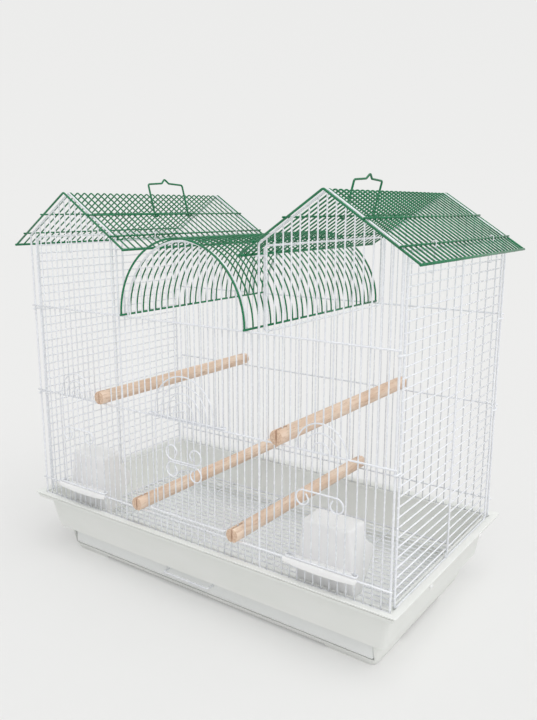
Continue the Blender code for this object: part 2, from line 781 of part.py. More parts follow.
def ring_points(inset, z, radius, corner_steps=2):
    """A rounded rectangle, set out or in from the panels' planes."""
    half_x = HALF_WIDTH - inset
    half_y = HALF_DEPTH - inset
    points = []
    for quarter, (sign_x, sign_y) in enumerate(((1, 1), (-1, 1), (-1, -1), (1, -1))):
        for step in range(corner_steps + 1):
            angle = math.pi / 2 * (quarter + step / corner_steps)
            points.append((sign_x * (half_x - radius) + radius * math.cos(angle),
                           sign_y * (half_y - radius) + radius * math.sin(angle), z))
    return points


def base_profile():
    """Section of the shell as inset, height and corner radius, round its outside and up its inside."""
    rim = BASE_HEIGHT + RIM_RISE
    dish = BASE_HEIGHT - RIM_DISH
    groove = BASE_HEIGHT - GROOVE_DEPTH
    lip = BASE_HEIGHT + RIM_RISE - RIM_LIP_DROP
    ledge = BODY_FOOT
    ledge_in = BODY_FOOT_IN + BASE_WALL
    bevel = 0.0013
    return [
        (-GROOVE_HALF, dish, 0.0012), (-RIM_OUT + bevel, rim, 0.009), (-RIM_OUT, rim - bevel, 0.010),
        (-RIM_LIP, lip, 0.008), (-RIM_LIP + RIM_WALL, lip, 0.007),
        (-RIM_OUT + 1.6 * RIM_WALL, rim - RIM_WALL, 0.007),
        (-GROOVE_HALF - RIM_WALL, dish - RIM_WALL, 0.003), (-GROOVE_HALF - RIM_WALL, groove - RIM_WALL, 0.003),
        (BODY_TOP_IN, groove - RIM_WALL, 0.007), (BODY_FOOT_IN, BODY_FOOT - BASE_WALL, 0.008),
        (STEP_IN, STEP_FOOT, 0.008), (SKIRT_IN, SKIRT_FOOT, 0.008), (FOOT_IN, 0, 0.008),
        (FOOT_IN + BASE_WALL, 0, 0.006), (FOOT_IN, RUNNER_TOP - BASE_WALL, 0.006),
        (RUNNER_IN, RUNNER_TOP - BASE_WALL, 0.004), (RUNNER_IN, RUNNER_TOP, 0.004),
        (SKIRT_IN + BASE_WALL, RUNNER_TOP, 0.005), (STEP_IN + BASE_WALL, STEP_FOOT + BASE_WALL, 0.006),
        (ledge_in + LEDGE_WIDTH, ledge, 0.006), (ledge_in, ledge, 0.006),
        (GROOVE_HALF + RIM_WALL, groove - RIM_WALL, 0.006), (GROOVE_HALF + RIM_WALL, BASE_HEIGHT, 0.004),
        (GROOVE_HALF, BASE_HEIGHT, 0.0012), (GROOVE_HALF, groove, 0.0012), (-GROOVE_HALF, groove, 0.0012),
    ]


def make_base(material):
    shell = bmesh.new()
    loops = [[shell.verts.new(point) for point in ring_points(*entry)] for entry in base_profile()]
    for index, loop in enumerate(loops):
        after = loops[(index + 1) % len(loops)]
        for corner in range(len(loop)):
            beside = (corner + 1) % len(loop)
            shell.faces.new((loop[corner], loop[beside], after[beside], after[corner]))
    base = finish_mesh(shell, "base_shell", material)
    cuts = bmesh.new()
    slot_half = HALF_WIDTH - SLOT_END
    box_into(cuts, (-slot_half, -HALF_DEPTH + BODY_FOOT_IN, RUNNER_TOP - SEAT_GAP),
             (slot_half, -HALF_DEPTH + RUNNER_IN - BASE_WALL, SLOT_TOP))
    outer = 0.001
    foot_x = HALF_WIDTH - FOOT_IN - FOOT_LENGTH
    foot_y = HALF_DEPTH - FOOT_IN - FOOT_LENGTH
    near = BODY_FOOT_IN
    far = FOOT_IN + 2 * BASE_WALL
    for sign in (-1, 1):
        low, high = sorted((sign * (HALF_DEPTH - near), sign * (HALF_DEPTH - far)))
        slanted_box_into(cuts, (-foot_x, low, -outer), (foot_x, high, FOOT_RISE), 0)
        low, high = sorted((sign * (HALF_WIDTH - near), sign * (HALF_WIDTH - far)))
        slanted_box_into(cuts, (low, -foot_y, -outer), (high, foot_y, FOOT_RISE), 1)
    return combine(base, finish_mesh(cuts, "base_cuts", None), "DIFFERENCE")


def drawer_box():
    half = HALF_WIDTH - SLOT_END - DRAWER_SIDE_GAP
    front = -HALF_DEPTH + DRAWER_FACE_IN
    rear = HALF_DEPTH - SKIRT_IN - BASE_WALL - DRAWER_SIDE_GAP
    return (-half, front, RUNNER_TOP + SEAT_GAP), (half, rear, SLOT_TOP - DRAWER_TOP_GAP)


def make_drawer(material):
    low, high = drawer_box()
    body = bmesh.new()
    box_into(body, low, high)
    cuts = bmesh.new()
    wall = DRAWER_WALL
    box_into(cuts, (low[0] + wall, low[1] + wall, low[2] + wall), (high[0] - wall, high[1] - wall, high[2] + wall))
    box_into(cuts, (DRAWER_RECESS[0], low[1] - wall, low[2] - wall),
             (DRAWER_RECESS[1], low[1] + DRAWER_RECESS_DEPTH, high[2] + wall))
    drawer = finish_mesh(body, "drawer_tray", material)
    combine(drawer, finish_mesh(cuts, "drawer_hollow", None), "DIFFERENCE")
    holes = Wires()
    for sign in (-1, 1):
        place = Vector((PULL_CENTRE + sign * PULL_HALF, low[1], PULL_HEIGHT))
        holes.add([place - Y_AXIS * wall / 2, place + Y_AXIS * wall * 1.5],
                  PULL_WIRE + 2 * SEAT_GAP, Z_AXIS, sides=6)
    return combine(drawer, holes.build("drawer_pull_holes", None), "DIFFERENCE")


def make_pull(material):
    low, _high = drawer_box()
    inside = low[1] + DRAWER_WALL * 0.8
    outside = low[1] - PULL_REACH
    left = PULL_CENTRE - PULL_HALF
    right = PULL_CENTRE + PULL_HALF
    pull = Wires()
    pull.add([(left, inside, PULL_HEIGHT), (left, outside, PULL_HEIGHT),
              (right, outside, PULL_HEIGHT), (right, inside, PULL_HEIGHT)],
             PULL_WIRE, Z_AXIS, sides=6)
    return pull.build("drawer_pull", material)


def make_grille(material):
    inset = BODY_FOOT_IN + BASE_WALL + LEDGE_WIDTH / 2
    half_x = HALF_WIDTH - inset
    half_y = HALF_DEPTH - inset
    bars = Wires()
    step = 2 * half_y / (GRILLE_BARS + 1)
    for index in range(GRILLE_BARS):
        y = -half_y + step * (index + 1)
        bars.add([(-half_x, y, GRILLE_Z), (half_x, y, GRILLE_Z)], BAR_WIRE, Z_AXIS)
    border = Wires()
    outline = []
    for sign_x, sign_y in ((-1, -1), (1, -1), (1, 1), (-1, 1)):
        corner = [(sign_x * half_x, sign_y * (half_y - GRILLE_CORNER), GRILLE_Z),
                  (sign_x * (half_x - GRILLE_CORNER), sign_y * half_y, GRILLE_Z)]
        outline += corner if sign_x == sign_y else reversed(corner)
    border.add(outline, RAIL_WIRE, Z_AXIS, closed=True)
    cross = Wires()
    cross_z = GRILLE_Z + RAIL_WIRE / 2 + BAR_WIRE / 2 - WELD / 2
    for x in GRILLE_CROSS:
        cross.add([(x, -half_y - RAIL_WIRE / 4, cross_z), (x, half_y + RAIL_WIRE / 4, cross_z)], BAR_WIRE, Z_AXIS)
    grille = bars.build("floor_grille", material)
    combine(grille, border.build("floor_grille_border", None), "UNION")
    return combine(grille, cross.build("floor_grille_cross", None), "UNION")


def make_roof_clip(name, wall_x, ridge_x, y, seat_z, seat_wire, material):
    """A bent wire that hooks under one wire of a wall and over the purlin above the wall."""
    offset = wall_x - ridge_x
    outward = math.copysign(1, offset)
    x, z = purlin_point(ridge_x, offset)
    reach = math.hypot(PURLIN_WIRE, PURLIN_WIRE) / 2 + SEAT_GAP + CLIP_WIRE / 2
    low = seat_z - seat_wire / 2 - SEAT_GAP - CLIP_WIRE / 2
    leg = outward * (FRAME_WIRE / 2 + SEAT_GAP + CLIP_WIRE)
    under = -outward * (seat_wire / 2 + SEAT_GAP + CLIP_WIRE / 2)
    path = [
        (x - outward * reach, y, z - reach / 2), (x - outward * reach, y, z + reach),
        (x + outward * reach, y, z + reach), (x + outward * reach, y, z - reach),
        (wall_x + leg, y, WALL_TOP_Z), (wall_x + leg, y, low),
        (wall_x + under, y, low), (wall_x + under, y, low + seat_wire + CLIP_WIRE),
    ]
    clip = Wires()
    clip.add(path, CLIP_WIRE, Y_AXIS)
    return clip.build(name, material)


def make_button(name, side, y, material):
    """A small pierced button on the sloping face of the rim's lip."""
    rise = RIM_LIP_DROP
    run = RIM_OUT - RIM_LIP
    normal = Vector((side * rise, 0, -run)).normalized()
    face_share = 0.55
    centre = Vector((side * (HALF_WIDTH + RIM_OUT - run * face_share), y,
                     BASE_HEIGHT + RIM_RISE - rise * face_share))
    start = centre + normal * SEAT_GAP * 2
    end = start + normal * BUTTON_THICKNESS
    disc = Wires()
    disc.add([start, end], BUTTON_DIAMETER, Y_AXIS, sides=8)
    hole = Wires()
    hole.add([start - normal * BUTTON_THICKNESS, end + normal * BUTTON_THICKNESS], BUTTON_HOLE, Y_AXIS, sides=8)
    button = disc.build(name, material)
    return combine(button, hole.build(name + "_hole", None), "DIFFERENCE")


def main():
    clear_scene()
    white = make_material("white_wire", 236, 239, 243, 0.35)
    green = make_material("green_wire", 34, 104, 68, 0.35)
    base_plastic = make_material("base_plastic", 224, 226, 220, 0.5)
    tray_plastic = make_material("tray_plastic", 200, 207, 205, 0.5)
    cup_plastic = make_material("cup_plastic", 236, 236, 236, 0.4)
    wood = make_material("beech", 222, 184, 150, 0.6)

    make_base(base_plastic)
    make_drawer(tray_plastic)
    make_pull(white)
    make_grille(white)
    make_end_panel("front_panel", -HALF_DEPTH, -1, True, white)
    make_end_panel("back_panel", HALF_DEPTH, 1, False, white)

    bar_places = gable_bar_places()
    clip_places = [(bar_places[gap] + bar_places[gap + 1]) / 2 for gap in CLIP_GAPS]
    inner_x = bar_x(HOUSE_SPACES)
    for side, word in ((-1, "left"), (1, "right")):
        make_side_panel(word + "_side_panel", side, white)
        make_inner_wall(word + "_inner_wall", side, white)
        make_gable_roof(word + "_gable_roof", side * RIDGE_X, green)
        make_handle(word + "_handle", side * RIDGE_X, -side, green)
        for place, y in zip(("front", "rear"), clip_places):
            make_roof_clip(f"{word}_outer_clip_{place}", side * HALF_WIDTH, side * RIDGE_X, y,
                           side_bar_heights()[-2], BAR_WIRE, white)
            make_roof_clip(f"{word}_inner_clip_{place}", side * -inner_x, side * RIDGE_X, y,
                           WALL_TOP_Z, FRAME_WIRE, white)
        for place, y in zip(("front", "rear"), BUTTON_PLACES):
            make_button(f"{word}_button_{place}", side, y, cup_plastic)
    make_barrel_roof(green)

    guides = door_guides()
    make_door("centre_door", guides["centre"], CENTRE_FOOT, CENTRE_ARCH_BASE, True, white)
    for word in ("left", "right"):
        make_door(word + "_feeder_door", guides[word], FEEDER_FOOT, FEEDER_ARCH_BASE, False, white)
        make_cup(word + "_cup", guides[word], cup_plastic)
    for word, index in zip(("left", "right"), HIGH_PERCH_BARS):
        make_perch(word + "_high_perch", index, MID_RAIL, wood)
    for word, index in zip(("left", "right"), LOW_PERCH_BARS):
        make_perch(word + "_low_perch", index, LOW_RAIL, wood)


main()
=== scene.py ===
import math

import bmesh
import bpy
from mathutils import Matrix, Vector


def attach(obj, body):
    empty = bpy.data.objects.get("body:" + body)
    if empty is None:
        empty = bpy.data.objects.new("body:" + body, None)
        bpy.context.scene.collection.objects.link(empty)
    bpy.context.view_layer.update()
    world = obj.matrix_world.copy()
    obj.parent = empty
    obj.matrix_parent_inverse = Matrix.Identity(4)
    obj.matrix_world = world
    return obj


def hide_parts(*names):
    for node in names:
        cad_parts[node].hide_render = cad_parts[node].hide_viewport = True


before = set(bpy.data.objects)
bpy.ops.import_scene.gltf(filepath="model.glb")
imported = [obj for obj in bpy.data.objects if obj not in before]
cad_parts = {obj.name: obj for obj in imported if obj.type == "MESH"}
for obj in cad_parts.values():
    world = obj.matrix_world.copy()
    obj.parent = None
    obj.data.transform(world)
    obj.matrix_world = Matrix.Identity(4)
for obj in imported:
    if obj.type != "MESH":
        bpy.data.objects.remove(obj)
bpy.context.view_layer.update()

# Wires, the gaps between them, their ends and their weld beads
BAR_WIRE = 0.0020
FRAME_WIRE = 0.0030
RAIL_WIRE = 0.0026
ROOF_WIRE = 0.0022
ROOF_END_WIRE = 0.0030
PURLIN_WIRE = 0.0024
HANDLE_WIRE = 0.0030
HOOK_WIRE = 0.0024
CLIP_WIRE = 0.0014
WELD = 0.00025
SEAT_GAP = 0.0003
SLIDE_GAP = 0.00035
END_NARROWING = 0.62
END_DOME = 0.45
WELD_BEAD = 0.0019
WELD_BEAD_REACH = 0.62

# Panels
BAR_PITCH = 0.012
HOUSE_SPACES = 16
MIDDLE_SPACES = 21
PANEL_DEPTH = 0.338
LOW_RAIL = 0.0267
MID_RAIL = 0.1780
UPPER_RAIL = 0.3162
RAIL_OVERHANG = 0.0035
SIDE_SETBACK = 0.012
SIDE_BARS = 32
SIDE_FIRST_BAR = 0.012
SIDE_BAR_POKE = 0.0028
PANEL_HOOK_DROP = 0.006
PANEL_HOOK_REACH = 0.0015
PANEL_HOOK_BEND = 0.0028
PANEL_BEND = 0.0060
POST_BEND = 0.004

# Roofs
RIDGE = 0.490
ROOF_DROP = 0.079
ROOF_OVERHANG = 0.0245
ROOF_FRONT = 0.0095
ROOF_REAR = 0.0045
ROOF_BARS = 26
PURLIN_END = 0.001
UPPER_PURLIN_SHARE = 0.43
GABLE_SINK = 0.0006
RIDGE_BEND = 0.0035
BARREL_RADIUS = 0.1105
BARREL_FIRST_BAR = 0.0086
ARCH_INSET = 0.0040
CLIP_GAPS = (5, 20)
CLIP_BEND = 0.0016

# Handles
HANDLE_GAPS = 3
HANDLE_HEIGHT = 0.051
HANDLE_SAG = 0.002
HANDLE_BEND = 0.003
HANDLE_PEAK_WIDTH = 0.016
HANDLE_PEAK = 0.007
HANDLE_LEAN = math.radians(15)
HANDLE_EYE = 0.0020
HANDLE_EYE_START = 0.3

# Doors
CENTRE_DOOR_SPACES = 11
FEEDER_DOOR_SPACES = 8
CENTRE_FOOT_RISE = 0.009
CENTRE_ARCH_BASE = 0.011
FEEDER_ARCH_BASE = 0.0025
LOOP_REACH = 0.0040
LOOP_TAIL = 0.0056
LOOP_BEND = 0.0038
CENTRE_SCROLL_HALF = 0.033
CENTRE_SCROLL_LEVEL = 0.119
CENTRE_SCROLL_RADIUS = 0.0115
FEEDER_SCROLL_HALF = 0.0345
FEEDER_SCROLL_LEVEL = 0.128
FEEDER_SCROLL_RADIUS = 0.0105
SCROLL_NARROWING = 0.81
SCROLL_TURN = math.radians(270)
SCROLL_TAIL = 0.0075
SCROLL_TAIL_LEAN = math.radians(30)

# Cups
CUP_FRONT = 0.0062
CUP_LEAN = 0.0026
CUP_WALL = 0.0018
CUP_BOTTOM_HALF = 0.0445
CUP_TOP_HALF = 0.0350
CUP_FLOOR = -0.006
CUP_TOP = 0.083
CUP_FRONT_TOP = 0.081
CUP_HOOD_DEPTH = 0.042
CUP_BOWL_DEPTH = 0.063
CUP_BOWL_LIP = 0.041
CUP_BOWL_TURN = (0.008, 0.012)
CUP_BOWL_SLANT = 0.042
CUP_MOUTH_PUSH = 4
CUP_MOUTH_EDGE = 3
CUP_HOOD_EDGE = 0.0595
CUP_CORNER = 0.004
LIP_THICKNESS = 0.0016
LIP_HALF = 0.054
LIP_DROP = 0.0095
LIP_BOW = 0.4
LIP_FRONT = 0.0092
LIP_EDGE = 0.0004
LIP_NECK_END = 0.0004
# Where the lip widens in front of the rail: how far out, how much narrower, and its share of the droop
LIP_FLARE = ((0.0006, 0.0015, 0.0), (0.0016, 0, 0.05), (0.0034, 0, 0.25))
LIP_BEND_DROOP = 0.62
LIP_CORNER = 0.001

# Perches
PERCH_DIAMETER = 0.020
PERCH_FRONT = 0.014
PERCH_REAR = 0.0075
PERCH_SLOT_IN = 0.0105
PERCH_SLOT_WIDTH = 0.0030
PERCH_CHAMFER = 0.0010
PERCH_SIDES = 40
PERCH_STEPS = 20
HIGH_PERCH_BARS = (13, 40)
LOW_PERCH_BARS = (19, 34)

# Base shell
BASE_HEIGHT = 0.105
RIM_RISE = 0.002
RIM_OUT = 0.0145
RIM_LIP = 0.0100
RIM_LIP_DROP = 0.010
RIM_EDGE = 0.0018
RIM_SET = 0.0022
RIM_GROOVE_TOP = 0.0020
RIM_GROOVE_FOOT = 0.0040
RIM_GROOVE_IN = 0.0045
RIM_RETURN = 0.0004
RIM_WALL = 0.0022
GROOVE_HALF = 0.0026
GROOVE_DEPTH = 0.0045
BASE_WALL = 0.0028
BODY_TOP_IN = 0.0015
BODY_FOOT_IN = 0.0105
BODY_FOOT = 0.046
STEP_IN = 0.023
STEP_FOOT = 0.037
SKIRT_IN = 0.028
SKIRT_FOOT = 0.011
FOOT_IN = 0.033
RUNNER_IN = 0.052
RUNNER_TOP = 0.0107
LEDGE_WIDTH = 0.0053
FOOT_LENGTH = 0.075
FOOT_RISE = 0.0045
SLOT_END = 0.032
SLOT_TOP = 0.0354
BASE_FILLET = 0.0008
CORNER_STEPS = 9

# Drawer and its pull
DRAWER_WALL = 0.0022
DRAWER_SIDE_GAP = 0.0012
DRAWER_TOP_GAP = 0.0008
DRAWER_FACE_IN = 0.0275
DRAWER_RECESS = (-0.0725, 0.0764)
DRAWER_RECESS_DEPTH = 0.0010
DRAWER_CORNER = 0.0035
DRAWER_HOLLOW_CORNER = 0.003
DRAWER_EDGE = 0.0005
PULL_WIRE = 0.0030
PULL_CENTRE = -0.024
PULL_HALF = 0.044
PULL_REACH = 0.012
PULL_HEIGHT = 0.0285
PULL_BEND = 0.0035
PULL_SINK = 0.8

# Floor grille
GRILLE_BARS = 24
GRILLE_CORNER = 0.0102
GRILLE_CROSS = (-0.170, -0.057, 0.057, 0.170)

# Small plastic buttons at the ends of the base
BUTTON_DIAMETER = 0.007
BUTTON_HOLE = 0.0026
BUTTON_THICKNESS = 0.0028
BUTTON_PLACES = (-0.077, 0.101)
BUTTON_DOWN = 0.55
BUTTON_SIDES = 24

# Camera and light
CAMERA_PLACE = (0.6508, -0.8794, 0.5749)
CAMERA_TURN = (math.radians(77.96), math.radians(-0.04), math.radians(35.69))
CAMERA_LENS = 35.93
CAMERA_SENSOR = 36
SKY_LIGHT = 0.66
SUN_LIGHT = 1.45
SUN_PLACE = (1.5, -0.6, 2.7)
SUN_SPREAD = math.radians(60)
FLOOR_COLOUR = (232, 232, 231)
FLOOR_GLOW = 0.3
BACKDROP_LOW = (238, 238, 237)
BACKDROP_HIGH = (236, 236, 235)
BACKDROP_FADE = 0.27
FLOOR_REACH = 12

# Derived places
TOTAL_SPACES = 2 * HOUSE_SPACES + MIDDLE_SPACES
HALF_WIDTH = TOTAL_SPACES * BAR_PITCH / 2
HALF_DEPTH = PANEL_DEPTH / 2
HOUSE_HALF = HOUSE_SPACES * BAR_PITCH / 2
INNER_X = HALF_WIDTH - HOUSE_SPACES * BAR_PITCH
ROOF_RUN = HOUSE_HALF + ROOF_OVERHANG
SLOPE = math.atan2(ROOF_DROP, ROOF_RUN)
RIDGE_X = HALF_WIDTH - HOUSE_HALF
RAIL_OUT = FRAME_WIRE / 2 - WELD + RAIL_WIRE / 2
RAIL_FACE = RAIL_OUT + RAIL_WIRE / 2
DOOR_OUT = RAIL_FACE + SLIDE_GAP + BAR_WIRE / 2
LOOP_IN = BAR_WIRE / 2 + SLIDE_GAP + RAIL_WIRE / 2
FOOT_WIRE_Z = BASE_HEIGHT - GROOVE_DEPTH + SEAT_GAP + FRAME_WIRE / 2
WALL_TOP_Z = (BASE_HEIGHT + RIDGE - HOUSE_HALF * math.tan(SLOPE) - FRAME_WIRE / 2 * math.tan(SLOPE)
              - ROOF_WIRE / 2 / math.cos(SLOPE) - SEAT_GAP - FRAME_WIRE / 2)
PURLIN_RISE = ROOF_END_WIRE / 2 - WELD + PURLIN_WIRE / 2
BARREL_FOOT_Z = BASE_HEIGHT + UPPER_RAIL + RAIL_WIRE / 2 + SEAT_GAP + RAIL_WIRE / 2
CENTRE_FOOT = LOW_RAIL + CENTRE_FOOT_RISE
FEEDER_FOOT = LOW_RAIL + RAIL_WIRE + 2 * SEAT_GAP + LIP_THICKNESS
RAILS = (LOW_RAIL, MID_RAIL, UPPER_RAIL)
# The planes of the first and last bar of every roof
ROOF_ENDS = (-HALF_DEPTH - ROOF_FRONT, HALF_DEPTH + ROOF_REAR)
POSTS = (0, HOUSE_SPACES, HOUSE_SPACES + MIDDLE_SPACES, TOTAL_SPACES)

X_AXIS = Vector((1, 0, 0))
Y_AXIS = Vector((0, 1, 0))
Z_AXIS = Vector((0, 0, 1))


# Colours and materials

def linear(channel):
    value = channel / 255
    return value / 12.92 if value <= 0.04045 else ((value + 0.055) / 1.055) ** 2.4


def colour(red, green, blue):
    return (linear(red), linear(green), linear(blue), 1)


def feed(tree, node, inputs):
    """Sets sockets to numbers or colours, or links them to the outputs of other nodes."""
    for socket, value in inputs.items():
        if isinstance(value, bpy.types.NodeSocket):
            tree.links.new(value, node.inputs[socket])
        else:
            node.inputs[socket].default_value = value


def add_node(tree, kind, inputs, **settings):
    node = tree.nodes.new("ShaderNode" + kind)
    for name, value in settings.items():
        setattr(node, name, value)
    feed(tree, node, inputs)
    return node


def add_ramp(tree, source, stops):
    """A colour ramp through stops of a place and a colour from 0 to 255."""
    node = add_node(tree, "ValToRGB", {"Fac": source})
    for element, (place, value) in zip(node.color_ramp.elements, stops):
        element.position = place
        element.color = colour(*value)
    for place, value in stops[2:]:
        node.color_ramp.elements.new(place).color = colour(*value)
    return node.outputs["Color"]


class Shader:
    """A Principled material and short ways to feed it."""

    def __init__(self, name):
        self.material = bpy.data.materials.new(name)
        self.material.use_nodes = True
        self.tree = self.material.node_tree
        self.main = self.tree.nodes["Principled BSDF"]
        self.coordinates = add_node(self.tree, "TexCoord", {}).outputs

    def noise(self, scale, detail, stretch=None, roughness=0.5):
        place = self.coordinates["Object"]
        if stretch:
            place = add_node(self.tree, "Mapping", {"Vector": place, "Scale": stretch}).outputs["Vector"]
        inputs = {"Vector": place, "Scale": scale, "Detail": detail, "Roughness": roughness}
        return add_node(self.tree, "TexNoise", inputs).outputs["Fac"]

    def ramp(self, source, stops):
        return add_ramp(self.tree, source, stops)

    def spread(self, source, low, high):
        """A value between low and high over the middle part of a noise."""
        inputs = {"Value": source, "From Min": 0.3, "From Max": 0.7, "To Min": low, "To Max": high}
        return add_node(self.tree, "MapRange", inputs).outputs["Result"]

    def bump(self, source, distance, strength, under=None):
        inputs = {"Height": source, "Distance": distance, "Strength": strength}
        if under:
            inputs["Normal"] = under
        return add_node(self.tree, "Bump", inputs).outputs["Normal"]

    def mix(self, factor, first, second, blend="MIX"):
        inputs = {0: factor, 6: first, 7: second}
        return add_node(self.tree, "Mix", inputs, data_type="RGBA", blend_type=blend).outputs[2]

    def facing_ends(self):
        """One on the sawn ends of a rod that lies along Y, nought on its round side."""
        along = add_node(self.tree, "SeparateXYZ", {0: self.coordinates["Normal"]}).outputs["Y"]
        size = add_node(self.tree, "Math", {0: along}, operation="ABSOLUTE").outputs[0]
        inputs = {"Value": size, "From Min": 0.80, "From Max": 0.95}
        return add_node(self.tree, "MapRange", inputs).outputs["Result"]

    def finish(self, inputs):
        feed(self.tree, self.main, inputs)
        return self.material


def powder_coat(name, light, dark, sheen, coat):
    """Sprayed and baked coat: orange peel, patches of thinner colour and a satin gloss."""
    shader = Shader(name)
    peel = shader.bump(shader.noise(900, 2), 0.00012, 0.35)
    return shader.finish({
        "Base Color": shader.ramp(shader.noise(35, 4), [(0.35, dark), (0.6, light)]),
        "Roughness": shader.spread(shader.noise(220, 2), sheen - 0.06, sheen + 0.08),
        "Normal": shader.bump(shader.noise(120, 3), 0.00025, 0.2, peel),
        "Specular IOR Level": coat,
    })


def moulded_plastic(name, light, dark, gloss, grain):
    """Injection moulded plastic: spark-eroded grain, faint flow marks and scuffs in its gloss."""
    shader = Shader(name)
    flow = shader.noise(9, 4, stretch=(1, 1, 3))
    fine = shader.bump(shader.noise(1700, 3), 0.00008, grain)
    return shader.finish({
        "Base Color": shader.ramp(flow, [(0.3, dark), (0.65, light)]),
        "Roughness": shader.spread(shader.noise(60, 5), gloss - 0.07, gloss + 0.09),
        "Normal": shader.bump(shader.noise(22, 2), 0.0006, 0.12, fine),
    })


def milky_plastic(name, light, dark):
    """Thin natural plastic that lets a little light into it."""
    shader = Shader(name)
    return shader.finish({
        "Base Color": shader.ramp(shader.noise(18, 3), [(0.3, dark), (0.7, light)]),
        "Roughness": shader.spread(shader.noise(80, 4), 0.30, 0.42),
        "Subsurface Weight": 0.1,
        "Subsurface Radius": (0.012, 0.012, 0.013),
        "Subsurface Scale": 0.4,
        "Normal": shader.bump(shader.noise(700, 2), 0.00006, 0.25),
    })


def bare_wood(name):
    """Turned beech: long fine grain, darker pores and a little warmth that wanders along it."""
    shader = Shader(name)
    bands = [(0.25, (226, 198, 175)), (0.5, (240, 218, 199)), (0.75, (249, 234, 219))]
    tone = shader.ramp(shader.noise(26, 5, stretch=(6, 0.5, 6), roughness=0.6), bands)
    warmth = [(0.3, (235, 221, 210)), (0.7, (255, 253, 250))]
    wander = shader.ramp(shader.noise(7, 3, stretch=(1, 2, 1)), warmth)
    pores = shader.noise(300, 3, stretch=(4, 0.25, 4))
    dark_pores = shader.ramp(pores, [(0.33, (190, 156, 126)), (0.42, (255, 255, 255))])
    warm = shader.mix(0.8, tone, wander, "MULTIPLY")
    side = shader.mix(0.45, warm, dark_pores, "MULTIPLY")
    end = shader.ramp(shader.noise(420, 4), [(0.35, (206, 172, 144)), (0.65, (234, 207, 184))])
    return shader.finish({
        "Base Color": shader.mix(shader.facing_ends(), side, end),
        "Roughness": shader.spread(pores, 0.55, 0.72),
        "Normal": shader.bump(pores, 0.00025, 0.4),
    })


WHITE = powder_coat("white_coat", (241, 243, 247), (235, 237, 242), 0.25, 0.8)
GREEN = powder_coat("green_coat", (12, 121, 77), (9, 108, 67), 0.24, 0.5)
BASE = moulded_plastic("ivory_moulding", (239, 240, 237), (235, 237, 233), 0.48, 0.35)
TRAY = moulded_plastic("grey_moulding", (242, 244, 243), (238, 240, 239), 0.52, 0.35)
CUP = milky_plastic("milky_moulding", (246, 246, 246), (241, 241, 241))
WOOD = bare_wood("turned_beech")


# Meshes

def make_object(name, points, faces):
    data = bpy.data.meshes.new(name)
    data.from_pydata([tuple(point) for point in points], [], faces)
    work = bmesh.new()
    work.from_mesh(data)
    bmesh.ops.recalc_face_normals(work, faces=work.faces)
    work.to_mesh(data)
    work.free()
    made = bpy.data.objects.new(name, data)
    bpy.context.scene.collection.objects.link(made)
    return made


def finish_piece(made, material, body, nodes=(), angle=40):
    made.data.materials.clear()
    made.data.materials.append(material)
    for face in made.data.polygons:
        face.use_smooth = True
    made.data.set_sharp_from_angle(angle=math.radians(angle))
    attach(made, body)
    if nodes:
        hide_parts(*nodes)


def apply_modifiers(made):
    """Bake the modifiers into the mesh."""
    graph = bpy.context.evaluated_depsgraph_get()
    baked = bpy.data.meshes.new_from_object(made.evaluated_get(graph))
    made.modifiers.clear()
    made.data = baked
    return made


def cut(made, tool):
    modifier = made.modifiers.new("cut", "BOOLEAN")
    modifier.operation = "DIFFERENCE"
    modifier.object = tool
    apply_modifiers(made)
    bpy.data.objects.remove(tool)


def soften(made, width, segments, angle=30):
    modifier = made.modifiers.new("soften", "BEVEL")
    modifier.width = width
    modifier.segments = segments
    modifier.limit_method = "ANGLE"
    modifier.angle_limit = math.radians(angle)
    modifier.miter_outer = "MITER_ARC"
    return apply_modifiers(made)


def box_object(name, low, high):
    corners = [(x, y, z) for x in (low[0], high[0]) for y in (low[1], high[1]) for z in (low[2], high[2])]
    faces = [(0, 1, 3, 2), (4, 6, 7, 5), (0, 4, 5, 1), (2, 3, 7, 6), (0, 2, 6, 4), (1, 5, 7, 3)]
    return make_object(name, corners, faces)


def slanted_box(name, low, high, axis):
    """A box whose bottom is longer than its top along one axis, with ends at 45 degrees."""
    made = box_object(name, low, high)
    for vertex in made.data.vertices:
        if vertex.co.z < (low[2] + high[2]) / 2:
            vertex.co[axis] += math.copysign(high[2] - low[2], vertex.co[axis])
    return made


def rounded(path, radius, steps, closed=False):
    """The path with each corner turned into an arc."""
    points = [Vector(point) for point in path]
    count = len(points)
    out = []
    for index, here in enumerate(points):
        if not closed and index in (0, count - 1):
            out.append(here)
            continue
        before = points[index - 1] - here
        after = points[(index + 1) % count] - here
        corner = before.angle(after)
        if corner > math.pi - 0.02:
            out.append(here)
            continue
        reach = min(radius / math.tan(corner / 2), 0.49 * before.length, 0.49 * after.length)
        start = before.normalized() * reach
        end = after.normalized() * reach
        middle = (start + end).normalized() * (reach / math.cos(corner / 2))
        turn = math.pi - corner
        for step in range(steps + 1):
            share = step / steps
            first = math.sin((1 - share) * turn) / math.sin(turn)
            second = math.sin(share * turn) / math.sin(turn)
            out.append(here + middle + (start - middle) * first + (end - middle) * second)
    return out


def arc_points(centre, radius, start, end, steps, place):
    points = []
    for index in range(steps + 1):
        angle = start + (end - start) * index / steps
        points.append(place(centre[0] + radius * math.cos(angle), centre[1] + radius * math.sin(angle)))
    return points


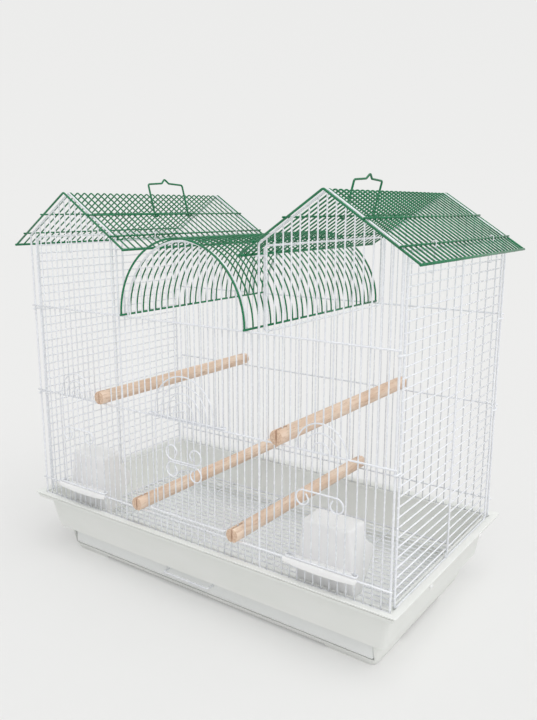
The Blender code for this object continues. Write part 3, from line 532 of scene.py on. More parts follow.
class Wires:
    """Round wires collected into one mesh, each with domed ends."""

    def __init__(self):
        self.points = []
        self.faces = []

    def ring(self, centre, across, third, radius, sides):
        first = len(self.points)
        for index in range(sides):
            angle = 2 * math.pi * index / sides
            self.points.append(centre + radius * (math.cos(angle) * across + math.sin(angle) * third))
        return first

    def join(self, rings, sides, closed):
        """Faces from ring to ring, and over both ends of an open wire."""
        following = rings[1:] + rings[:1] if closed else rings[1:]
        for first, second in zip(rings, following):
            for index in range(sides):
                after = (index + 1) % sides
                self.faces.append((first + index, first + after, second + after, second + index))
        if not closed:
            self.faces.append(tuple(rings[0] + index for index in reversed(range(sides))))
            self.faces.append(tuple(rings[-1] + index for index in range(sides)))

    def add(self, path, width, sides=10, closed=False):
        path = [Vector(point) for point in path]
        radius = width / 2
        count = len(path)
        runs = [(path[(index + 1) % count] - path[index]).normalized() for index in range(count)]
        across = None
        rings = []
        for index, centre in enumerate(path):
            if closed or 0 < index < count - 1:
                along = (runs[index - 1] + runs[index]).normalized()
            else:
                along = runs[0] if index == 0 else runs[count - 2]
            if across is None:
                across = self.start_side(runs)
            across = (across - across.dot(along) * along).normalized()
            third = along.cross(across)
            dome = along * radius * END_DOME
            if closed or 0 < index < count - 1:
                places = [(centre, 1)]
            elif index == 0:
                places = [(centre, END_NARROWING), (centre + dome, 1)]
            else:
                places = [(centre - dome, 1), (centre, END_NARROWING)]
            rings += [self.ring(place, across, third, radius * share, sides) for place, share in places]
        self.join(rings, sides, closed)

    @staticmethod
    def start_side(runs):
        """A direction square to the first run that lies square to the plane of the path."""
        for run in runs[1:-1] or runs[:1]:
            side = runs[0].cross(run)
            if side.length > 0.05:
                return side.normalized()
        side = Z_AXIS if abs(runs[0].z) < 0.9 else X_AXIS
        return runs[0].cross(side).normalized()


def wire_piece(name, material, body, runs, nodes=()):
    """One piece of wires, each given by its path, width, number of sides and whether it is closed."""
    wires = Wires()
    for run in runs:
        wires.add(*run)
    finish_piece(make_object(name, wires.points, wires.faces), material, body, nodes, angle=75)


# Shared layout

def upright(y):
    """Places flat points in the plane that stands across the cage at y."""
    return lambda x, z: Vector((x, y, z))


def bar_x(index):
    return index * BAR_PITCH - HALF_WIDTH


def roof_z(distance):
    return BASE_HEIGHT + RIDGE - abs(distance) * math.tan(SLOPE)


def gable_z(distance):
    return roof_z(distance) - GABLE_SINK / math.cos(SLOPE)


def door_guides():
    """The numbers of the two bars that each door slides on."""
    centre = (TOTAL_SPACES - CENTRE_DOOR_SPACES) // 2
    feeder = (HOUSE_SPACES - FEEDER_DOOR_SPACES) // 2
    right = POSTS[2] + feeder
    return {
        "centre": (centre, centre + CENTRE_DOOR_SPACES),
        "left": (feeder, feeder + FEEDER_DOOR_SPACES),
        "right": (right, right + FEEDER_DOOR_SPACES),
    }


def height_on(path, x):
    """The height of the path over x, or None beside it."""
    for before, after in zip(path, path[1:]):
        low, high = sorted((before.x, after.x))
        if low <= x <= high and high > low:
            share = (x - before.x) / (after.x - before.x)
            return before.z + share * (after.z - before.z)
    return None


def white_arch(place):
    radius = BARREL_RADIUS - ARCH_INSET
    foot = BASE_HEIGHT + UPPER_RAIL - RAIL_WIRE / 2
    over = arc_points((0, BARREL_FOOT_Z), radius, math.pi, 0, 40, place)
    return [place(-radius, foot)] + over + [place(radius, foot)]


def looped_rail(first_x, last_x, y, z):
    """A rail whose ends turn back round two guide bars in a round hook."""
    left = first_x - LOOP_REACH
    right = last_x + LOOP_REACH
    back = -HALF_DEPTH + LOOP_IN
    path = [(first_x + LOOP_TAIL, back, z), (left, back, z), (left, y, z),
            (right, y, z), (right, back, z), (last_x - LOOP_TAIL, back, z)]
    return rounded(path, LOOP_BEND, 6), RAIL_WIRE, 12


def between(start, end, count):
    """Places spread evenly between two ends, without the ends."""
    step = (end - start) / (count + 1)
    return [start + step * (index + 1) for index in range(count)]


def purlin_point(ridge_x, offset):
    """Where a wire lies on the roof bars, at this distance from the ridge."""
    lean = math.copysign(math.sin(SLOPE), offset)
    return (ridge_x + offset + PURLIN_RISE * lean, roof_z(offset) + PURLIN_RISE * math.cos(SLOPE))


def side_bar_heights():
    first = BASE_HEIGHT + SIDE_FIRST_BAR
    step = (WALL_TOP_Z - first) / SIDE_BARS
    return [first + step * index for index in range(SIDE_BARS)]


# End panels

def weld_bead(x, y, z):
    """The swelling where two welded wires sink into each other under the coat."""
    centre = Vector((x, y, z))
    half = X_AXIS * WELD_BEAD * WELD_BEAD_REACH
    return [centre - half, centre + half], WELD_BEAD, 6


def panel_bars(place, arch, in_opening):
    """Upright bars up to the gables and the arch, with a gap at each door."""
    low_end = BASE_HEIGHT + LOW_RAIL + RAIL_WIRE / 2
    high_start = BASE_HEIGHT + MID_RAIL - RAIL_WIRE / 2
    runs = []
    for index in range(TOTAL_SPACES + 1):
        if index in POSTS:
            continue
        x = bar_x(index)
        if index < POSTS[1] or index > POSTS[2]:
            top = gable_z(RIDGE_X - abs(x))
        else:
            top = height_on(arch, x) or BASE_HEIGHT + UPPER_RAIL + RAIL_WIRE / 2
        spans = [(FOOT_WIRE_Z, low_end), (high_start, top)] if index in in_opening else [(FOOT_WIRE_Z, top)]
        runs += [([place(x, low), place(x, high)], BAR_WIRE) for low, high in spans]
    return runs


def house_frame(place, first, last):
    left = bar_x(first)
    right = bar_x(last)
    eave = gable_z(HOUSE_HALF)
    outline = [place(left, FOOT_WIRE_Z), place(left, eave), place((left + right) / 2, gable_z(0)),
               place(right, eave), place(right, FOOT_WIRE_Z)]
    return rounded(outline, RIDGE_BEND, 5, closed=True), FRAME_WIRE, 12, True


def make_end_panel(name, y, outward, guides):
    place = upright(y)
    arch = white_arch(place)
    in_opening = {index for first, last in guides for index in range(first + 1, last)}
    wire_piece(name + "_bars", WHITE, "cage", panel_bars(place, arch, in_opening), [name])
    frames = [house_frame(place, *POSTS[:2]), house_frame(place, *POSTS[2:])]
    wire_piece(name + "_house_frames", WHITE, "cage", frames)
    wire_piece(name + "_arch", WHITE, "cage", [(arch, FRAME_WIRE, 12)])

    reach = HALF_WIDTH + RAIL_OVERHANG
    outside = upright(y + outward * RAIL_OUT)
    levels = [BASE_HEIGHT + rail for rail in RAILS]
    rails = [([outside(-reach, z), outside(reach, z)], RAIL_WIRE, 12) for z in levels]
    rails.append(([place(bar_x(POSTS[1]), FOOT_WIRE_Z), place(bar_x(POSTS[2]), FOOT_WIRE_Z)], RAIL_WIRE))
    wire_piece(name + "_rails", WHITE, "cage", rails)

    beads = []
    for index in range(TOTAL_SPACES + 1):
        crossed = levels[1:] if index in in_opening else levels
        beads += [weld_bead(bar_x(index), y + outward * BAR_WIRE / 2, z) for z in crossed]
    wire_piece(name + "_weld_beads", WHITE, "cage", beads)


# Side panels and inner walls

def wall_hooks(x, outward, heights):
    """Hooks that reach from a wall's posts round the posts of the end panels."""
    offset = FRAME_WIRE / 2 + SLIDE_GAP + HOOK_WIRE / 2
    far_x = x + outward * offset
    runs = []
    for sign in (-1, 1):
        post_y = sign * (HALF_DEPTH - SIDE_SETBACK)
        far_y = sign * (HALF_DEPTH + offset)
        for z in heights:
            path = [(x, post_y, z), (far_x, post_y + sign * offset, z), (far_x, far_y, z),
                    (x - outward * PANEL_HOOK_REACH, far_y, z)]
            runs.append((rounded(path, PANEL_HOOK_BEND, 4), HOOK_WIRE))
    return runs


def wall_frame(x, low):
    reach = HALF_DEPTH - SIDE_SETBACK
    outline = [(x, -reach, low), (x, -reach, WALL_TOP_Z), (x, reach, WALL_TOP_Z), (x, reach, low)]
    return [(rounded(outline, PANEL_BEND, 5, closed=True), FRAME_WIRE, 12, True)]


def make_side_panel(name, side):
    x = side * HALF_WIDTH
    reach = HALF_DEPTH - SIDE_SETBACK + SIDE_BAR_POKE
    bars = [([(x, -reach, z), (x, reach, z)], BAR_WIRE) for z in side_bar_heights()]
    wire_piece(name + "_bars", WHITE, "cage", bars, [name])
    wire_piece(name + "_frame", WHITE, "cage", wall_frame(x, FOOT_WIRE_Z))
    outside_x = x + side * RAIL_OUT
    step_out = BASE_HEIGHT + RIM_RISE + RAIL_WIRE
    post = [(x, 0, FOOT_WIRE_Z), (x, 0, step_out), (outside_x, 0, step_out + RAIL_WIRE),
            (outside_x, 0, WALL_TOP_Z + FRAME_WIRE / 4)]
    wire_piece(name + "_middle_post", WHITE, "cage", [(rounded(post, POST_BEND, 4), RAIL_WIRE, 12)])
    heights = [BASE_HEIGHT + rail - PANEL_HOOK_DROP for rail in RAILS[1:]]
    wire_piece(name + "_hooks", WHITE, "cage", wall_hooks(x, side, heights))


def make_inner_wall(name, side):
    x = side * INNER_X
    wire_piece(name + "_frame", WHITE, "cage", wall_frame(x, BASE_HEIGHT + UPPER_RAIL), [name])
    wire_piece(name + "_hooks", WHITE, "cage", wall_hooks(x, -side, [WALL_TOP_Z - 2 * PANEL_HOOK_DROP]))


# Roofs

def along_roof(x, z, width):
    """A wire from front to rear that ends a little past the last roof bars."""
    front, rear = ROOF_ENDS
    past = ROOF_END_WIRE / 2 + PURLIN_END
    return [(x, front - past, z), (x, rear + past, z)], width, 12


def make_gable_roof(name, ridge_x):
    def rafter(y):
        path = [(ridge_x + sign * ROOF_RUN, y, roof_z(sign * ROOF_RUN)) for sign in (-1, 0, 1)]
        return rounded(path, RIDGE_BEND, 5)

    rafters = [(rafter(y), ROOF_WIRE) for y in between(*ROOF_ENDS, ROOF_BARS)]
    wire_piece(name + "_rafters", GREEN, "cage", rafters, [name])
    wire_piece(name + "_verges", GREEN, "cage", [(rafter(y), ROOF_END_WIRE, 12) for y in ROOF_ENDS])
    eave_wire = ROOF_END_WIRE + 2 * WELD
    runs = [along_roof(ridge_x + sign * ROOF_RUN, roof_z(ROOF_RUN), eave_wire) for sign in (-1, 1)]
    upper = ROOF_RUN * UPPER_PURLIN_SHARE
    for offset in (-HOUSE_HALF, -upper, upper, HOUSE_HALF):
        runs.append(along_roof(*purlin_point(ridge_x, offset), PURLIN_WIRE))
    wire_piece(name + "_purlins", GREEN, "cage", runs)


def make_barrel_roof():
    def hoop(y):
        return arc_points((0, BARREL_FOOT_Z), BARREL_RADIUS, math.pi, 0, 36, upright(y))

    inner = HALF_DEPTH - BARREL_FIRST_BAR
    step = 2 * inner / (ROOF_BARS - 1)
    hoops = [(hoop(-inner + step * index), ROOF_WIRE) for index in range(ROOF_BARS)]
    hoops += [(hoop(y), ROOF_END_WIRE) for y in ROOF_ENDS]
    wire_piece("barrel_roof_hoops", GREEN, "cage", hoops, ["barrel_roof"])
    feet = [along_roof(sign * BARREL_RADIUS, BARREL_FOOT_Z, RAIL_WIRE + 2 * WELD) for sign in (-1, 1)]
    wire_piece("barrel_roof_feet", GREEN, "cage", feet)


def make_handle(name, ridge_x, inward):
    axis_x, axis_z = purlin_point(ridge_x, inward * ROOF_RUN * UPPER_PURLIN_SHARE)
    front, rear = ROOF_ENDS
    middle = (front + rear) / 2
    half = HANDLE_GAPS * (rear - front) / (ROOF_BARS + 1)
    eye = HANDLE_EYE + HANDLE_WIRE / 2

    def place(side, y, up):
        x = side * math.cos(HANDLE_LEAN) - up * math.sin(HANDLE_LEAN)
        z = up * math.cos(HANDLE_LEAN) + side * math.sin(HANDLE_LEAN)
        return Vector((axis_x + inward * x, middle + y, axis_z + z))

    def eye_path(y):
        return arc_points((0, 0), eye, HANDLE_EYE_START, -math.pi, 12, lambda side, up: place(side, y, up))

    top = HANDLE_HEIGHT
    corner = top - HANDLE_SAG
    outline = [(-half, 0), (-half, corner), (-HANDLE_PEAK_WIDTH / 2, top), (0, top + HANDLE_PEAK),
               (HANDLE_PEAK_WIDTH / 2, top), (half, corner), (half, 0)]
    crown = rounded([place(-eye, y, up) for y, up in outline], HANDLE_BEND, 5)
    path = eye_path(-half)[:-1] + crown + list(reversed(eye_path(half)[:-1]))
    wire_piece(name + "_bail", GREEN, name, [(path, HANDLE_WIRE, 14)], [name])


def make_roof_clip(name, wall_x, ridge_x, y, seat_z, seat_wire):
    """A thin wire bent over the roof's lower purlin and under a wire of the wall."""
    offset = wall_x - ridge_x
    outward = math.copysign(1, offset)
    x, z = purlin_point(ridge_x, offset)
    reach = math.hypot(PURLIN_WIRE, PURLIN_WIRE) / 2 + SEAT_GAP + CLIP_WIRE / 2
    low = seat_z - seat_wire / 2 - SEAT_GAP - CLIP_WIRE / 2
    near = x - outward * reach
    far = x + outward * reach
    leg = wall_x + outward * (FRAME_WIRE / 2 + SEAT_GAP + CLIP_WIRE)
    under = wall_x - outward * (seat_wire / 2 + SEAT_GAP + CLIP_WIRE / 2)
    path = [
        (near, y, z - reach / 2), (near, y, z + reach), (far, y, z + reach), (far, y, z - reach),
        (leg, y, WALL_TOP_Z), (leg, y, low), (under, y, low), (under, y, low + seat_wire + CLIP_WIRE),
    ]
    wire_piece(name + "_wire", WHITE, "cage", [(rounded(path, CLIP_BEND, 4), CLIP_WIRE)], [name])


# Doors

def scroll_path(x_centre, y, level, half, radius, turn):
    """A straight wire whose two ends curl up, turn 1, or down, turn -1."""
    def curl(sign):
        steps = 24
        points = []
        for index in range(steps + 1):
            share = index / steps
            angle = -turn * math.pi / 2 + sign * turn * share * SCROLL_TURN
            reach = radius * (1 + (SCROLL_NARROWING - 1) * share)
            points.append(Vector((x_centre + sign * (half - radius) + reach * math.cos(angle), y,
                                  level + turn * radius + reach * math.sin(angle))))
        tail = Vector((sign * math.sin(SCROLL_TAIL_LEAN), 0, -turn * math.cos(SCROLL_TAIL_LEAN)))
        return points + [points[-1] + tail * SCROLL_TAIL]

    return list(reversed(curl(-1))) + curl(1)


def door_legs(first, last, place, foot_z, arc_z):
    """Nested arches, with a single bar in the middle where the number of legs is odd."""
    middle = (bar_x(first) + bar_x(last)) / 2
    inner_legs = last - first - 1
    runs = []
    for pair in range(inner_legs // 2):
        radius = bar_x(last - 1 - pair) - middle
        over = arc_points((middle, arc_z), radius, math.pi, 0, 28, place)
        runs.append(([place(middle - radius, foot_z)] + over + [place(middle + radius, foot_z)], BAR_WIRE))
    if inner_legs % 2:
        smallest = bar_x(last - inner_legs // 2) - middle
        runs.append(([place(middle, foot_z), place(middle, arc_z + smallest)], BAR_WIRE))
    return runs


def make_door(name, guides, foot, arch_base, has_top_rail):
    first, last = [bar_x(index) for index in guides]
    middle = (first + last) / 2
    y = -HALF_DEPTH - DOOR_OUT
    foot_z = BASE_HEIGHT + foot
    legs = door_legs(*guides, upright(y), foot_z, BASE_HEIGHT + MID_RAIL + arch_base)
    wire_piece(name + "_legs", WHITE, name, legs, [name])

    scroll_y = y - BAR_WIRE / 2 - PURLIN_WIRE / 2 + WELD
    rails = [looped_rail(first, last, y, foot_z)]
    if has_top_rail:
        top_y = y + BAR_WIRE / 2 + RAIL_WIRE / 2 - WELD
        top_z = BASE_HEIGHT + MID_RAIL + RAIL_WIRE + SEAT_GAP
        rails.append(looped_rail(first, last, top_y, top_z))
        level = BASE_HEIGHT + CENTRE_SCROLL_LEVEL
        gap = PURLIN_WIRE / 2 + SLIDE_GAP
        scrolls = [(level + turn * gap, CENTRE_SCROLL_HALF, CENTRE_SCROLL_RADIUS, turn) for turn in (-1, 1)]
    else:
        scrolls = [(BASE_HEIGHT + FEEDER_SCROLL_LEVEL, FEEDER_SCROLL_HALF, FEEDER_SCROLL_RADIUS, -1)]
    wire_piece(name + "_rails", WHITE, name, rails)
    runs = [(scroll_path(middle, scroll_y, *scroll), PURLIN_WIRE, 12) for scroll in scrolls]
    wire_piece(name + "_scrolls", WHITE, name, runs)


# Cups

def cup_outline():
    """The hooded cup from the side: front, hood, open mouth and bowl."""
    back, down = CUP_BOWL_TURN
    section = [
        (0, CUP_FLOOR), (CUP_LEAN, CUP_FRONT_TOP), (CUP_HOOD_DEPTH, CUP_TOP), (CUP_HOOD_DEPTH, CUP_HOOD_EDGE),
        (CUP_BOWL_DEPTH, CUP_BOWL_LIP), (CUP_BOWL_DEPTH - back, CUP_BOWL_LIP - down),
        (CUP_BOWL_DEPTH - CUP_BOWL_SLANT, CUP_FLOOR),
    ]
    return [(CUP_FRONT - HALF_DEPTH + depth, BASE_HEIGHT + height) for depth, height in section]


def inset_outline(outline):
    """The outline moved in by the wall, except at the open mouth, where it moves out."""
    points = [Vector(point) for point in outline]
    walls = [CUP_WALL] * len(points)
    walls[CUP_MOUTH_EDGE] *= -CUP_MOUTH_PUSH
    shifted = []
    for index, point in enumerate(points):
        before = (point - points[index - 1]).normalized()
        after = (points[(index + 1) % len(points)] - point).normalized()
        first = point - Vector((-before.y, before.x)) * walls[index - 1]
        second = point - Vector((-after.y, after.x)) * walls[index]
        cross = before.x * after.y - before.y * after.x
        gap = second - first
        shifted.append(first + before * ((gap.x * after.y - gap.y * after.x) / cross))
    return [(corner.x, corner.y) for corner in shifted]


def prism(name, outline, inset, x_centre):
    """The outline drawn out to both sides, narrower towards the top."""
    low = BASE_HEIGHT + CUP_FLOOR
    high = BASE_HEIGHT + CUP_TOP
    points = []
    for sign in (-1, 1):
        for y, z in outline:
            share = (z - low) / (high - low)
            half = CUP_BOTTOM_HALF + (CUP_TOP_HALF - CUP_BOTTOM_HALF) * share - inset
            points.append((x_centre + sign * half, y, z))
    count = len(outline)
    faces = [tuple(range(count)), tuple(range(2 * count - 1, count - 1, -1))]
    for index in range(count):
        after = (index + 1) % count
        faces.append((index, count + index, count + after, after))
    return make_object(name, points, faces)


def make_lip(name, x_centre, neck_half):
    """The ledge that passes over the low rail and droops in front of it."""
    top = BASE_HEIGHT + LOW_RAIL + RAIL_WIRE / 2 + SEAT_GAP + LIP_THICKNESS / 2
    front = -HALF_DEPTH
    wide_at = front - RAIL_FACE - SEAT_GAP
    rows = [(front + CUP_FRONT + CUP_LEAN / 2, neck_half, 0.0), (wide_at + LIP_NECK_END, neck_half, 0.0)]
    rows += [(wide_at - out, LIP_HALF - narrower, share) for out, narrower, share in LIP_FLARE]
    rows.append((front - LIP_FRONT + LIP_THICKNESS, LIP_HALF, LIP_BEND_DROOP))
    rows.append((front - LIP_FRONT + LIP_THICKNESS / 2, LIP_HALF - LIP_CORNER, 1.0))
    columns = 24
    points = []
    for y, half, share in rows:
        for index in range(columns + 1):
            across = 2 * index / columns - 1
            droop = share * (LIP_DROP - LIP_THICKNESS / 2) * (1 - LIP_BOW * across * across)
            points.append((x_centre + across * half, y, top - droop))
    faces = []
    for row in range(len(rows) - 1):
        for index in range(columns):
            corner = row * (columns + 1) + index
            faces.append((corner, corner + 1, corner + columns + 2, corner + columns + 1))
    made = make_object(name, points, faces)
    thick = made.modifiers.new("thick", "SOLIDIFY")
    thick.thickness = LIP_THICKNESS
    thick.offset = 0
    apply_modifiers(made)
    return soften(made, LIP_EDGE, 2, angle=50)


def make_cup(name, guides):
    first, last = [bar_x(index) for index in guides]
    x_centre = (first + last) / 2
    outline = cup_outline()
    shell = soften(prism(name + "_shell", outline, 0, x_centre), CUP_CORNER, 4)
    hollow = soften(prism(name + "_hollow", inset_outline(outline), CUP_WALL, x_centre), CUP_CORNER / 2, 3)
    cut(shell, hollow)
    finish_piece(shell, CUP, "cage", [name], angle=35)
    neck_half = (last - first) / 2 - BAR_WIRE / 2 - 2 * SEAT_GAP
    finish_piece(make_lip(name + "_lip", x_centre, neck_half), CUP, "cage", angle=50)


# Perches

def make_perch(name, index, rail):
    x = bar_x(index)
    z = BASE_HEIGHT + rail + RAIL_WIRE / 2 + SEAT_GAP + PERCH_DIAMETER / 2
    front = -HALF_DEPTH - PERCH_FRONT
    rear = HALF_DEPTH + PERCH_REAR
    radius = PERCH_DIAMETER / 2
    third = PERCH_CHAMFER / 3
    edge = [(0, radius - PERCH_CHAMFER), (third, radius - third), (PERCH_CHAMFER, radius)]
    places = [(front + depth, ring) for depth, ring in edge]
    places += [(front + (rear - front) * step / PERCH_STEPS, radius) for step in range(1, PERCH_STEPS)]
    places += [(rear - depth, ring) for depth, ring in reversed(edge)]
    wires = Wires()
    rings = [wires.ring(Vector((x, y, z)), X_AXIS, Z_AXIS, ring, PERCH_SIDES) for y, ring in places]
    wires.join(rings, PERCH_SIDES, closed=False)
    dowel = make_object(name + "_dowel", wires.points, wires.faces)
    left = x - PERCH_SLOT_WIDTH / 2
    right = x + PERCH_SLOT_WIDTH / 2
    for sign, end in ((-1, front), (1, rear)):
        near, far = sorted((sign * (HALF_DEPTH - PERCH_SLOT_IN), end + sign * PERCH_SLOT_IN))
        slot = box_object("slot", (left, near, z - PERCH_DIAMETER), (right, far, z + PERCH_DIAMETER))
        cut(dowel, slot)
    finish_piece(dowel, WOOD, "cage", [name], angle=30)


# Base

def fillet_profile(profile):
    """Rounds the corners of a closed section of inset, height and corner radius."""
    out = []
    count = len(profile)
    for index, (inset, z, corner) in enumerate(profile):
        here = Vector((inset, z))
        before = Vector(profile[index - 1][:2]) - here
        after = Vector(profile[(index + 1) % count][:2]) - here
        angle = before.angle(after)
        if angle > math.pi - 0.1:
            out.append((inset, z, corner))
            continue
        reach = min(BASE_FILLET / math.tan(angle / 2), 0.3 * before.length, 0.3 * after.length)
        for share in (0.0, 0.5, 1.0):
            start = before.normalized() * reach * (1 - share) ** 2
            end = after.normalized() * reach * share ** 2
            point = here + start + end
            out.append((point.x, point.y, corner))
    return out


def ring_points(inset, z, radius):
    """The base's rounded outline at this inset and height."""
    half_x = HALF_WIDTH - inset
    half_y = HALF_DEPTH - inset
    points = []
    for quarter, (sign_x, sign_y) in enumerate(((1, 1), (-1, 1), (-1, -1), (1, -1))):
        for step in range(CORNER_STEPS + 1):
            angle = math.pi / 2 * (quarter + step / CORNER_STEPS)
            points.append((sign_x * (half_x - radius) + radius * math.cos(angle),
                           sign_y * (half_y - radius) + radius * math.sin(angle), z))
    return points


def base_profile():
    """The shell's section: the inset and height of each point and the radius of the plan's corners."""
    rim = BASE_HEIGHT + RIM_RISE
    under = BASE_HEIGHT - RIM_WALL
    groove = BASE_HEIGHT - GROOVE_DEPTH
    foot = rim - RIM_GROOVE_FOOT
    lip = rim - RIM_LIP_DROP
    set_in = -RIM_OUT + RIM_GROOVE_IN
    ledge_in = BODY_FOOT_IN + BASE_WALL
    wall_in = GROOVE_HALF + RIM_WALL
    return [
        (-GROOVE_HALF, BASE_HEIGHT, 0.0012), (-RIM_OUT, rim, 0.003), (-RIM_OUT, rim - RIM_EDGE, 0.003),
        (set_in, rim - RIM_GROOVE_TOP, 0.0035), (set_in, foot, 0.0035),
        (-RIM_OUT + RIM_SET, foot - RIM_RETURN, 0.0035), (-RIM_LIP, lip, 0.0035),
        (-RIM_LIP + RIM_WALL, lip, 0.0035), (set_in + RIM_WALL, under, 0.0035),
        (-GROOVE_HALF - RIM_WALL, under, 0.003), (-GROOVE_HALF - RIM_WALL, groove - RIM_WALL, 0.003),
        (BODY_TOP_IN, groove - RIM_WALL, 0.007), (BODY_FOOT_IN, BODY_FOOT - BASE_WALL, 0.008),
        (STEP_IN, STEP_FOOT, 0.008), (SKIRT_IN, SKIRT_FOOT, 0.008), (FOOT_IN, 0, 0.008),
        (FOOT_IN + BASE_WALL, 0, 0.006), (FOOT_IN, RUNNER_TOP - BASE_WALL, 0.006),
        (RUNNER_IN, RUNNER_TOP - BASE_WALL, 0.004), (RUNNER_IN, RUNNER_TOP, 0.004),
        (SKIRT_IN + BASE_WALL, RUNNER_TOP, 0.005), (STEP_IN + BASE_WALL, STEP_FOOT + BASE_WALL, 0.006),
        (ledge_in + LEDGE_WIDTH, BODY_FOOT, 0.006), (ledge_in, BODY_FOOT, 0.006),
        (wall_in, groove - RIM_WALL, 0.006), (wall_in, BASE_HEIGHT, 0.004),
        (GROOVE_HALF, BASE_HEIGHT, 0.0012), (GROOVE_HALF, groove, 0.0012), (-GROOVE_HALF, groove, 0.0012),
    ]


def make_base():
    profile = fillet_profile(base_profile())
    points = []
    for entry in profile:
        points += ring_points(*entry)
    around = len(points) // len(profile)
    faces = []
    for row in range(len(profile)):
        start = row * around
        after = (row + 1) % len(profile) * around
        for index in range(around):
            beside = (index + 1) % around
            faces.append((start + index, start + beside, after + beside, after + index))
    shell = make_object("base_moulding", points, faces)
    slot_half = HALF_WIDTH - SLOT_END
    slot = box_object("slot", (-slot_half, -HALF_DEPTH + BODY_FOOT_IN, RUNNER_TOP - SEAT_GAP),
                      (slot_half, -HALF_DEPTH + RUNNER_IN - BASE_WALL, SLOT_TOP))
    cut(shell, slot)
    foot_x = HALF_WIDTH - FOOT_IN - FOOT_LENGTH
    foot_y = HALF_DEPTH - FOOT_IN - FOOT_LENGTH
    near = BODY_FOOT_IN
    far = FOOT_IN + 2 * BASE_WALL
    for sign in (-1, 1):
        low, high = sorted((sign * (HALF_DEPTH - near), sign * (HALF_DEPTH - far)))
        cut(shell, slanted_box("arch", (-foot_x, low, -0.001), (foot_x, high, FOOT_RISE), 0))
        low, high = sorted((sign * (HALF_WIDTH - near), sign * (HALF_WIDTH - far)))
        cut(shell, slanted_box("arch", (low, -foot_y, -0.001), (high, foot_y, FOOT_RISE), 1))
    finish_piece(shell, BASE, "cage", ["base_shell"], angle=32)


def make_drawer():
    half = HALF_WIDTH - SLOT_END - DRAWER_SIDE_GAP
    low = (-half, -HALF_DEPTH + DRAWER_FACE_IN, RUNNER_TOP + SEAT_GAP)
    high = (half, HALF_DEPTH - SKIRT_IN - BASE_WALL - DRAWER_SIDE_GAP, SLOT_TOP - DRAWER_TOP_GAP)
    wall = DRAWER_WALL
    body = soften(box_object("drawer_tray_body", low, high), DRAWER_CORNER, 4)
    hollow = box_object("hollow", (low[0] + wall, low[1] + wall, low[2] + wall),
                        (high[0] - wall, high[1] - wall, high[2] + 0.01))
    cut(body, soften(hollow, DRAWER_HOLLOW_CORNER, 4))
    recess = box_object("recess", (DRAWER_RECESS[0], low[1] - wall, low[2] - wall),
                        (DRAWER_RECESS[1], low[1] + DRAWER_RECESS_DEPTH, high[2] + wall))
    cut(body, recess)
    soften(body, DRAWER_EDGE, 2, angle=60)
    finish_piece(body, TRAY, "drawer", ["drawer_tray"], angle=35)
    inside = low[1] + wall * PULL_SINK
    outside = low[1] - PULL_REACH
    left = PULL_CENTRE - PULL_HALF
    right = PULL_CENTRE + PULL_HALF
    z = PULL_HEIGHT
    path = [(left, inside, z), (left, outside, z), (right, outside, z), (right, inside, z)]
    pull = [(rounded(path, PULL_BEND, 6), PULL_WIRE, 14)]
    wire_piece("drawer_pull_wire", WHITE, "drawer", pull, ["drawer_pull"])


def make_grille():
    inset = BODY_FOOT_IN + BASE_WALL + LEDGE_WIDTH / 2
    half_x = HALF_WIDTH - inset
    half_y = HALF_DEPTH - inset
    z = BODY_FOOT + SEAT_GAP + RAIL_WIRE / 2
    places = between(-half_y, half_y, GRILLE_BARS)
    bars = [([(-half_x, y, z), (half_x, y, z)], BAR_WIRE, 8) for y in places]
    wire_piece("floor_grille_bars", WHITE, "cage", bars, ["floor_grille"])
    outline = [(-half_x, -half_y, z), (half_x, -half_y, z), (half_x, half_y, z), (-half_x, half_y, z)]
    border = [(rounded(outline, GRILLE_CORNER, 8, closed=True), RAIL_WIRE, 12, True)]
    wire_piece("floor_grille_border", WHITE, "cage", border)
    reach = half_y + RAIL_WIRE / 4
    cross_z = z + RAIL_WIRE / 2 + BAR_WIRE / 2 - WELD / 2
    cross = [([(x, -reach, cross_z), (x, reach, cross_z)], BAR_WIRE, 8) for x in GRILLE_CROSS]
    wire_piece("floor_grille_cross_wires", WHITE, "cage", cross)


def make_button(name, side, y):
    """A domed disc with a hole, flat on the sloping rim."""
    rise = RIM_LIP_DROP - RIM_EDGE
    run = RIM_OUT - RIM_SET - RIM_LIP
    normal = Vector((side * rise, 0, -run)).normalized()
    centre = Vector((side * (HALF_WIDTH + RIM_OUT - RIM_SET - run * BUTTON_DOWN), y,
                     BASE_HEIGHT + RIM_RISE - RIM_EDGE - rise * BUTTON_DOWN))
    third = normal.cross(Y_AXIS).normalized()
    start = centre + normal * SEAT_GAP * 2
    outer = BUTTON_DIAMETER / 2
    inner = BUTTON_HOLE / 2
    section = [(inner, 0), (outer, 0), (outer, 0.3), (outer * 0.93, 0.6), (outer * 0.8, 0.84),
               (outer * 0.62, 1), (inner * 1.2, 1), (inner, 0.85)]
    wires = Wires()
    rings = [wires.ring(start + normal * BUTTON_THICKNESS * up, Y_AXIS, third, radius, BUTTON_SIDES)
             for radius, up in section]
    wires.join(rings, BUTTON_SIDES, closed=True)
    finish_piece(make_object(name + "_disc", wires.points, wires.faces), CUP, "cage", [name], angle=40)


# The whole cage

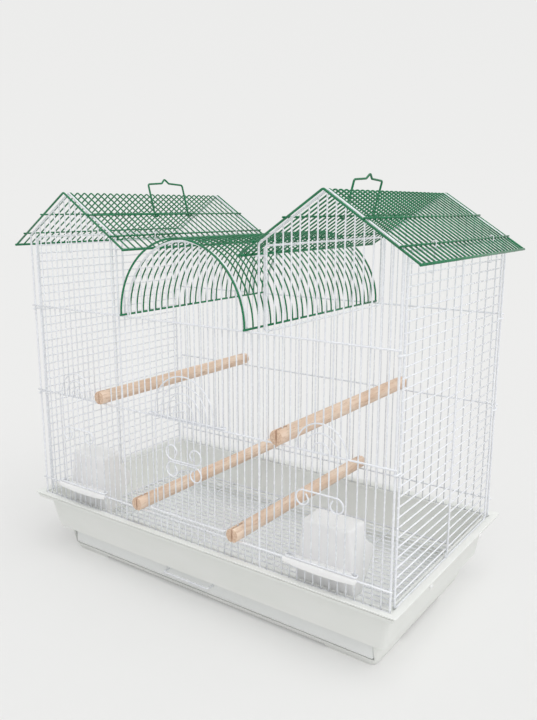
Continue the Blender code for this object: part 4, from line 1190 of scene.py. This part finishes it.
def make_cage():
    guides = door_guides()
    make_base()
    make_drawer()
    make_grille()
    make_end_panel("front_panel", -HALF_DEPTH, -1, guides.values())
    make_end_panel("back_panel", HALF_DEPTH, 1, [])
    bars = between(*ROOF_ENDS, ROOF_BARS)
    clip_places = [(bars[gap] + bars[gap + 1]) / 2 for gap in CLIP_GAPS]
    seat_z = side_bar_heights()[-2]
    for side, word in ((-1, "left"), (1, "right")):
        ridge_x = side * RIDGE_X
        make_side_panel(word + "_side_panel", side)
        make_inner_wall(word + "_inner_wall", side)
        make_gable_roof(word + "_gable_roof", ridge_x)
        make_handle(word + "_handle", ridge_x, -side)
        for place, y in zip(("front", "rear"), clip_places):
            make_roof_clip(f"{word}_outer_clip_{place}", side * HALF_WIDTH, ridge_x, y, seat_z, BAR_WIRE)
            make_roof_clip(f"{word}_inner_clip_{place}", side * INNER_X, ridge_x, y, WALL_TOP_Z, FRAME_WIRE)
        for place, y in zip(("front", "rear"), BUTTON_PLACES):
            make_button(f"{word}_button_{place}", side, y)
    make_barrel_roof()
    make_door("centre_door", guides["centre"], CENTRE_FOOT, CENTRE_ARCH_BASE, True)
    for word in ("left", "right"):
        make_door(word + "_feeder_door", guides[word], FEEDER_FOOT, FEEDER_ARCH_BASE, False)
        make_cup(word + "_cup", guides[word])
    for level, rail, places in (("high", MID_RAIL, HIGH_PERCH_BARS), ("low", LOW_RAIL, LOW_PERCH_BARS)):
        for word, index in zip(("left", "right"), places):
            make_perch(f"{word}_{level}_perch", index, rail)


# Stage, light and camera

def show_to_camera(tree, output, plain, shown, share):
    """Mixes the shown shader in for what the camera sees, also by gloss or through a clear body."""
    rays = add_node(tree, "LightPath", {}).outputs
    seen = rays["Is Camera Ray"]
    for ray in ("Is Glossy Ray", "Is Transmission Ray"):
        seen = add_node(tree, "Math", {0: seen, 1: rays[ray]}, operation="MAXIMUM").outputs[0]
    factor = add_node(tree, "Math", {0: seen, 1: share}, operation="MULTIPLY").outputs[0]
    mix = add_node(tree, "MixShader", {0: factor, 1: plain.outputs[0], 2: shown.outputs[0]})
    feed(tree, tree.nodes[output], {"Surface": mix.outputs[0]})


def make_floor():
    """A matt floor with part of the backdrop's tone, so that its shadows stay pale."""
    size = FLOOR_REACH
    corners = [(-size, -size, 0), (size, -size, 0), (size, size, 0), (-size, size, 0)]
    floor = make_object("studio_floor", corners, [(0, 1, 2, 3)])
    shader = Shader("studio_floor")
    matt = {"Base Color": colour(*FLOOR_COLOUR), "Roughness": 1.0, "Specular IOR Level": 0.0}
    floor.data.materials.append(shader.finish(matt))
    glow = add_node(shader.tree, "Emission", {"Color": colour(*BACKDROP_LOW)})
    show_to_camera(shader.tree, "Material Output", shader.main, glow, FLOOR_GLOW)


def make_backdrop():
    """A white sky that lights the cage, and the backdrop's own tones for the camera."""
    world = bpy.data.worlds.new("studio")
    bpy.context.scene.world = world
    world.use_nodes = True
    tree = world.node_tree
    light = tree.nodes["Background"]
    feed(tree, light, {"Color": (1, 1, 1, 1), "Strength": SKY_LIGHT})
    direction = add_node(tree, "TexCoord", {}).outputs["Generated"]
    height = add_node(tree, "SeparateXYZ", {0: direction}).outputs["Z"]
    tones = add_ramp(tree, height, [(0, BACKDROP_LOW), (BACKDROP_FADE, BACKDROP_HIGH)])
    show_to_camera(tree, "World Output", light, add_node(tree, "Background", {"Color": tones}), 1)


def place_in_scene(name, data, place, turn):
    made = bpy.data.objects.new(name, data)
    made.location = place
    made.rotation_euler = turn
    bpy.context.scene.collection.objects.link(made)
    return made


def add_sun():
    """A broad soft light from above and a little to the right."""
    data = bpy.data.lights.new("soft_sun", "SUN")
    data.energy = SUN_LIGHT
    data.angle = SUN_SPREAD
    place_in_scene("soft_sun", data, SUN_PLACE, (-Vector(SUN_PLACE)).to_track_quat("-Z", "Y").to_euler())


def make_camera():
    data = bpy.data.cameras.new("photo_camera")
    data.sensor_fit = "VERTICAL"
    data.sensor_height = CAMERA_SENSOR
    data.lens = CAMERA_LENS
    bpy.context.scene.camera = place_in_scene("photo_camera", data, CAMERA_PLACE, CAMERA_TURN)


make_cage()
make_floor()
make_backdrop()
add_sun()
make_camera()
bpy.context.scene.view_settings.view_transform = "Standard"
